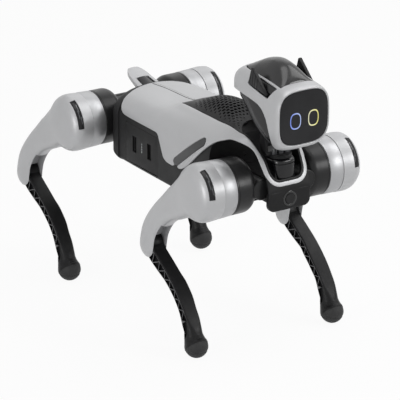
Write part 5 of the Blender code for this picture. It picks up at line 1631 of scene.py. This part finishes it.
def build_display(back):
    face = head_section(HEAD[0], HEAD_WALL + GAP)
    middle = (HEAD[0][2] + HEAD[0][3]) / 2
    rings = [[(back, y, z) for _, y, z in face]]
    for share in np.linspace(1.0, 0.05, 18):
        rings.append([(display_face(share), y * share, middle + (z - middle) * share)
                      for _, y, z in face])
    piece("face_glass", loft(rings), "black_glass", "head", ["display"])
    eyes = [eye_loop(side, middle) for side, _ in SIDES]
    piece("eyes", merged("eyes", eyes), "black_glass", "head", material=EYE_GLOW)


# Legs: thigh frame, U runs from hip to knee and V up and back, Y outward from the leg plane

THIGH_U = Vector((-math.sin(THIGH_LEAN), 0, -math.cos(THIGH_LEAN)))
THIGH_V = Vector((-math.cos(THIGH_LEAN), 0, math.sin(THIGH_LEAN)))
SHANK_S = Vector((math.sin(SHANK_LEAN), 0, -math.cos(SHANK_LEAN)))
SHANK_T = Vector((math.cos(SHANK_LEAN), 0, math.sin(SHANK_LEAN)))
KNEE = THIGH_U * THIGH_LENGTH


def strut_section(corner_radius):
    """A section with flat sides and rounded edges, as shares of its half width and depth."""
    middle = 1 - corner_radius
    corner = arc((middle, middle), corner_radius, 0.0, math.pi / 2, 8)
    half = corner + [(-w, d) for w, d in corner[::-1]]
    return half + [(-w, -d) for w, d in half]


def tube(line, u_axis, v_axis, sections, square_end=0):
    """A loft of sections square to a line of (along, offset, half depth, half width)."""
    rings = []
    for i, ((along, offset, depth, width), section) in enumerate(zip(line, sections)):
        before = line[max(i - 1, 0)]
        after = line[min(i + 1, len(line) - 1)]
        run = Vector((after[0] - before[0], after[1] - before[1])).normalized()
        if square_end:
            fade = min((len(line) - 1 - i) / square_end, 1.0)
            run = Vector((run.x, run.y * fade)).normalized()
        centre = u_axis * along + v_axis * offset
        across = v_axis * run.x - u_axis * run.y
        rings.append([centre + across * depth * v + Vector((0, width * w, 0)) for w, v in section])
    return loft(rings)


def arm_shape():
    keys = [(share * THIGH_LENGTH, offset, depth, ARM_HALF_WIDTH)
            for share, offset, depth in ARM_LINE]
    line = eased(keys, 60)
    end = line[-1]
    run = Vector((end[0] - line[-2][0], end[1] - line[-2][1])).normalized()
    for degrees in range(6, 85, 6):
        angle = math.radians(degrees)
        reach = 0.95 * KNEE_RADIUS * math.sin(angle)
        shrink = math.cos(angle)
        line.append((end[0] + run.x * reach, end[1] + run.y * reach, KNEE_RADIUS * shrink,
                     ARM_HALF_WIDTH * (0.45 + 0.55 * shrink)))
    section = oval(1.0, 1.0, ARM_EXPONENT, ARM_EXPONENT, 56)
    return tube(line, THIGH_U, THIGH_V, [section] * len(line))


def fan_outline(from_angle, to_angle):
    """Room for the knee's swing. Angles run from straight down V towards U."""
    centre = (KNEE.x, KNEE.z)
    start, end = -THIGH_LEAN - from_angle, -THIGH_LEAN - to_angle
    return (arc(centre, FORK_REACH, start, end, 24)
            + arc(centre, FORK_RADIUS, end, start - 2 * math.pi, 24))


def drum_profile():
    """Outer line of the thigh drum: place across the leg, radius."""
    inner = RING_INNER_Y + RING_WIDTH + GAP - LEG_PLANE_Y
    outer = THIGH_OUTER_Y - LEG_PLANE_Y
    r = THIGH_DRUM_RADIUS
    return eased([(inner, r - 0.0016), (-0.004, r), (0.006, r - 0.0005),
                  (outer - 0.0105, r - 0.0042), (outer - 0.0055, r - 0.0095),
                  (outer - 0.0020, r - 0.018), (outer - 0.0003, r - 0.029), (outer, 0.010)], 50)


def slot_shape(top, bottom, margin, from_share=0.0, to_share=1.0, low=0.0, high=1.0):
    """A strip along the slot window that follows the drum, between two depths under its face."""
    line = drum_profile()
    section = []
    for share in steps_from(low, high, 8):
        place = SLOT_Y + margin + (SLOT_WIDTH - 2 * margin) * share
        section.append((place, between(line, place)[1]))
    section = ([(place, radius - top) for place, radius in section]
               + [(place, radius - bottom) for place, radius in section[::-1]])
    spread = margin / THIGH_DRUM_RADIUS
    start = SLOT_FROM + (SLOT_TO - SLOT_FROM) * from_share + spread
    end = SLOT_FROM + (SLOT_TO - SLOT_FROM) * to_share - spread
    return loft([[(radius * math.cos(angle), y, radius * math.sin(angle)) for y, radius in section]
                 for angle in steps_from(start, end, 36)])


def thigh_mesh():
    line = drum_profile()
    inner = line[0][0]
    back = inner - 0.012
    profile = [(back, 0.0), (back, THIGH_DRUM_RADIUS - 0.0022)] + line + [(line[-1][0], 0.0)]
    drum = turned(profile, "Y", 110)
    arm = arm_shape()
    trees = (tree_of(drum), tree_of(arm))
    thigh = joined(drum, arm)
    thigh = baked(modified(thigh, "REMESH", mode="VOXEL", voxel_size=THIGH_VOXEL))
    relaxed(thigh, BLEND_ROUNDS, closeness(thigh, trees, BLEND_REACH))
    relaxed(thigh, SMOOTH_ROUNDS, hold=SMOOTH_HOLD)
    thigh = baked(modified(thigh, "DECIMATE", ratio=THIN_RATIO))
    slot = SHANK_HALF_WIDTH + SLIDE_GAP
    fan = fan_outline(-KNEE_FLEX - FORK_ROOM[0], KNEE_STRETCH + FORK_ROOM[1])
    return cut(thigh, box((-0.1, inner - 0.05, -0.1), (0.1, inner, 0.1)), prism(fan, -slot, slot),
               cross_rod(KNEE_PIN_RADIUS + GAP, KNEE.x, KNEE.z, KNEE_PIN_HALF + GAP, 36),
               slot_shape(-0.006, SLOT_DEPTH, 0.0))


def lens_mesh():
    """Light strokes on the slot window's face."""
    strokes = [slot_shape(0.00085, 0.0016, 0.0004, *stroke) for stroke in LIGHT_STROKES]
    return merged("lens", strokes)


def ring_mesh():
    low = RING_INNER_Y - LEG_PLANE_Y
    high = low + RING_WIDTH
    bore = HUB_RADIUS + GAP
    r = RING_RADIUS
    profile = [(low, bore), (low, r - 0.0020), (low + 0.0004, r - 0.0011),
               (low + 0.0012, r - 0.0006), (low + 0.0140, r - 0.0001),
               (high - 0.0012, r + 0.0004), (high - 0.0004, r + 0.0001), (high, r - 0.0008),
               (high, bore), (low, bore)]
    return turned(profile, "Y", 110)


def hip_link_mesh():
    inner = DRUM_INNER_Y - ABDUCTION_Y
    outer = RING_INNER_Y - GAP - ABDUCTION_Y
    hub = RING_INNER_Y + RING_WIDTH - ABDUCTION_Y
    r = DRUM_RADIUS
    groove = outer - 0.0040
    profile = [(inner, 0.0), (inner, 0.012), (inner + 0.0006, 0.0125), (inner + 0.0006, 0.0140),
               (inner, 0.0145)]
    profile += arc((inner + DRUM_ROUND, r - DRUM_ROUND), DRUM_ROUND, math.pi, math.pi / 2, 10)
    profile += [(groove, r), (groove + 0.0003, r - 0.0006), (groove + 0.0009, r - 0.0006),
                (groove + 0.0012, r), (outer - 0.0006, r), (outer, r - 0.0006),
                (outer, HUB_RADIUS), (hub, HUB_RADIUS), (hub, 0.0)]
    reach = PIVOT_HALF_LENGTH
    end = [(reach - 0.0015, PIVOT_RADIUS), (reach, PIVOT_RADIUS - 0.0015), (reach, 0.0)]
    pivot = [(-place, radius) for place, radius in end[::-1]] + end
    return joined(turned(profile, "Y", 110), turned(pivot, "X", 56))


def shank_line():
    """Centre line of the lower leg, flared into the ball of the foot."""
    line = [(share * SHANK_LENGTH, *rest) for share, *rest in SHANK_LINE]
    line += [(SHANK_LENGTH - short, *rest) for short, *rest in ANKLE_FLARE]
    return eased(line, 60)


def shank_point(line, along, share):
    """A point of the side face: share -1 on the back edge, 1 on the front edge."""
    _, offset, depth, _ = between(line, along)
    return SHANK_S * along + SHANK_T * (offset + share * (depth - TRUSS_BAR))


def inset_triangle(points, bar):
    sides = [(points[(i + 1) % 3] - points[(i + 2) % 3]).length for i in range(3)]
    half = sum(sides) / 2
    area = math.sqrt(half * math.prod(half - side for side in sides))
    inner = sum((point * side for point, side in zip(points, sides)), Vector()) / sum(sides)
    keep = max(1 - bar * half / area, 0.15)
    return [inner + (point - inner) * keep for point in points]


def truss_prism(points, side):
    ends = span(side, SHANK_HALF_WIDTH - TRUSS_DEPTH, 0.03)
    return prism([(point.x, point.z) for point in points], *ends)


def truss_cutters(line):
    """Triangles between the bars of both sides, and the pocket above each ankle."""
    first, last = (share * SHANK_LENGTH for share in TRUSS_SPAN)
    pitch = (last - first) / TRUSS_BAYS
    cutters = []
    for side in (-1, 1):
        for bay in range(TRUSS_BAYS):
            for share in (-1, 1):
                start = first + bay * pitch + (0.0 if share < 0 else pitch / 2)
                corners = [shank_point(line, start, share), shank_point(line, start + pitch, share),
                           shank_point(line, start + pitch / 2, -share)]
                cutters.append(truss_prism(inset_triangle(corners, TRUSS_BAR / 2), side))
        pocket = [shank_point(line, place * SHANK_LENGTH, share)
                  for place, share in eased(ANKLE_POCKET, 15)]
        cutters.append(truss_prism(pocket, side))
    return merged("truss", cutters)


def split_bars(shape):
    """Cuts the side faces where the pale bars begin and end."""
    for share in BAR_SPAN:
        bmesh.ops.bisect_plane(shape, geom=shape.verts[:] + shape.edges[:] + shape.faces[:],
                               plane_co=SHANK_S * SHANK_LENGTH * share, plane_no=SHANK_S)


def join_flat(shape):
    """Runs of faces in one plane become single faces."""
    bmesh.ops.dissolve_limit(shape, angle_limit=FLAT_ANGLE, verts=shape.verts, edges=shape.edges)


def shank_mesh():
    line = shank_line()
    sections = []
    for along, *_ in line:
        share = along / SHANK_LENGTH
        bulge = smooth_step(0.36, 0.47, share) - smooth_step(0.58, 0.72, share)
        section = strut_section(0.22 + 0.78 * smooth_step(0.74, 0.93, share))
        sections.append([(w * (1 + 0.16 * bulge) if w < 0 else w, d) for w, d in section])
    shank = tube(line, SHANK_S, SHANK_T, sections, square_end=16)
    knuckle = cross_rod(SHANK_HEAD_RADIUS, 0, 0, SHANK_HALF_WIDTH - GAP)
    shank = edited(joined(shank, rounded(knuckle, 0.0008, 2)), join_flat)
    shank = cut(shank, truss_cutters(line))
    shank = edited(cut(shank, cross_rod(KNEE_PIN_RADIUS + GAP, 0, 0, 0.03, 36)), split_bars)
    # Floors of the truss pockets take the near-black finish, painted shade; the bars' faces take a
    # paler grey.
    for material in (GRAPHITE, POCKET_SHADE, BAR_GREY):
        shank.data.materials.append(material)
    floor = SHANK_HALF_WIDTH - TRUSS_DEPTH
    for face in shank.data.polygons:
        share = face.center.dot(SHANK_S) / SHANK_LENGTH
        if abs(face.normal.y) > 0.98:
            if abs(abs(face.center.y) - floor) < 0.0003:
                face.material_index = 1
            elif BAR_SPAN[0] < share < BAR_SPAN[1]:
                face.material_index = 2
    return shank


def foot_mesh():
    """Rubber ball with a level seam above its sole, and grooves in the sole."""
    profile = []
    for share in steps_from(0.0, 1.0, 80):
        radius = FOOT_RADIUS
        for place, depth, spread in FOOT_GROOVES:
            radius -= depth * math.exp(-((share - place) / spread) ** 2)
        angle = math.pi * share
        profile.append((-radius * math.cos(angle), radius * math.sin(angle)))
    profile[0] = (-FOOT_RADIUS, 0.0)
    profile[-1] = (FOOT_RADIUS, 0.0)
    return turned(profile, "Z", 80)


def knee_pin_mesh():
    reach = KNEE_PIN_HALF
    r = KNEE_PIN_RADIUS
    end = [(0.0014, r - 0.0005), (0.0020, r), (reach - 0.0008, r), (reach, r - 0.0008),
           (reach, 0.0)]
    return turned([(-place, radius) for place, radius in end[::-1]] + end, "Y", 36)


def build_legs():
    """Makes each leg piece once, then copies it to the four legs."""
    thigh = Vector((0, LEG_PLANE_Y - ABDUCTION_Y, 0))
    knee = thigh + KNEE
    foot = knee + SHANK_S * SHANK_LENGTH
    window = slot_shape(0.0010, 0.0032, 0.0004)
    shapes = (
        ("hip_drum", "hip_link", hip_link_mesh(), "hip", Vector(), "graphite_composite", SATIN),
        ("collar_ring", "thigh_ring", ring_mesh(), "thigh", thigh, "silver_paint", BRUSHED),
        ("thigh_casting", "thigh_shell", thigh_mesh(), "thigh", thigh, "silver_paint", None),
        ("slot_glass", "thigh_window", window, "thigh", thigh, "black_glass", None),
        ("slot_lights", None, lens_mesh(), "thigh", thigh, "black_glass", LENS),
        ("knee_axle", "knee_pin", knee_pin_mesh(), "thigh", knee, "steel", None),
        ("strut", "shank", shank_mesh(), "lower_leg", knee, "graphite_composite", None),
        ("ball", "foot", foot_mesh(), "lower_leg", foot, "rubber", None),
    )
    for hip_x, end, _ in HIPS:
        for side, label in SIDES:
            leg = f"{end}_{label}"
            stand = Matrix.Translation((hip_x, side * ABDUCTION_Y, HIP_Z))
            stand = stand @ Matrix.Scale(side, 4, (0, 1, 0))
            for name, node, template, body, place, slot, material in shapes:
                made = linked(f"{leg}_{name}", template.data.copy())
                moved(made, stand @ Matrix.Translation(place))
                nodes = [f"{leg}_{node}"] if node else []
                piece(f"{leg}_{name}", made, slot, f"{leg}_{body}", nodes, material)
    for _, _, template, *_ in shapes:
        bpy.data.objects.remove(template, do_unlink=True)


# Studio

def show_white(owner, lit, white, output, share=1.0):
    """Lights the object by one shader, and shows the other to the camera, in shine and in glass."""
    nodes, add, _ = node_tools(owner)
    nodes.clear()
    path = add("ShaderNodeLightPath").outputs
    seen = path["Is Camera Ray"]
    for ray in ("Is Glossy Ray", "Is Transmission Ray"):
        seen = add("ShaderNodeMath", {0: seen, 1: path[ray]}, operation="MAXIMUM").outputs[0]
    if share < 1:
        seen = add("ShaderNodeMath", {0: seen, 1: share}, operation="MULTIPLY").outputs[0]
    shaders = [add(kind, inputs).outputs[0] for kind, inputs in (lit, white)]
    mix = add("ShaderNodeMixShader", {0: seen, 1: shaders[0], 2: shaders[1]})
    add(output, {"Surface": mix.outputs[0]})


def build_world():
    world = bpy.data.worlds.new("studio")
    SCENE.world = world
    world.use_nodes = True
    show_white(world, ("ShaderNodeBackground", {"Color": WHITE, "Strength": WORLD_LIGHT}),
               ("ShaderNodeBackground", {"Color": WHITE, "Strength": 1.0}),
               "ShaderNodeOutputWorld")


def build_floor():
    shape = bmesh.new()
    bmesh.ops.create_circle(shape, cap_ends=True, radius=FLOOR_RADIUS, segments=96)
    floor = from_bmesh("studio_floor", shape)
    if floor.data.polygons[0].normal.z < 0:
        floor.data.flip_normals()
    material, *_ = new_material("studio_floor")
    show_white(material, ("ShaderNodeBsdfDiffuse", {"Color": FLOOR_COLOUR}),
               ("ShaderNodeEmission", {"Color": WHITE, "Strength": 1.0}),
               "ShaderNodeOutputMaterial", FLOOR_SHARE)
    floor.data.materials.append(material)
    floor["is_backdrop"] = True


def direction(azimuth, elevation):
    a = math.radians(azimuth)
    e = math.radians(elevation)
    return Vector((math.sin(a) * math.cos(e), -math.cos(a) * math.cos(e), math.sin(e)))


def add_lamp(name, azimuth, elevation, distance, size, power):
    lamp = bpy.data.lights.new(name, "AREA")
    lamp.shape = "SQUARE"
    lamp.size = size
    lamp.energy = power
    made = linked(name, lamp)
    back = direction(azimuth, elevation)
    made.location = TARGET + back * distance
    made.rotation_euler = back.to_track_quat("Z", "Y").to_euler()


def build_camera():
    lens = bpy.data.cameras.new("camera")
    lens.sensor_width = SENSOR_WIDTH
    lens.lens = SENSOR_WIDTH * FOCAL_PIXELS / PHOTO_PIXELS
    camera = linked("camera", lens)
    back = direction(*CAMERA_ANGLES)
    right = Vector((0, 0, 1)).cross(back).normalized()
    up = back.cross(right)
    per_pixel = CAMERA_DISTANCE / FOCAL_PIXELS
    aim = TARGET + right * (AIM_PIXELS[0] * per_pixel) + up * (AIM_PIXELS[1] * per_pixel)
    camera.location = aim + back * CAMERA_DISTANCE
    camera.rotation_euler = Matrix((right, up, back)).transposed().to_euler()
    SCENE.camera = camera


SCENE.view_settings.view_transform = "Standard"
build_camera()
build_world()
build_floor()
for lamp in LAMPS:
    add_lamp(*lamp)
build_back_shell()
build_trunk_frame()
build_screws()
build_motors()
build_grille()
build_liners()
build_plates()
build_battery()
build_tail()
build_neck()
build_head()
build_legs()
for node, slot in (("mainboard", "circuit_board"), ("speaker", "black_plastic")):
    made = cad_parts[node]
    made.data.materials.clear()
    made.data.materials.append(SLOTS[slot])

boxes = {"cad": CAD_BOX, "visual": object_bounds()}
{key: [[float(value) for value in corner] for corner in corners] for key, corners in boxes.items()}
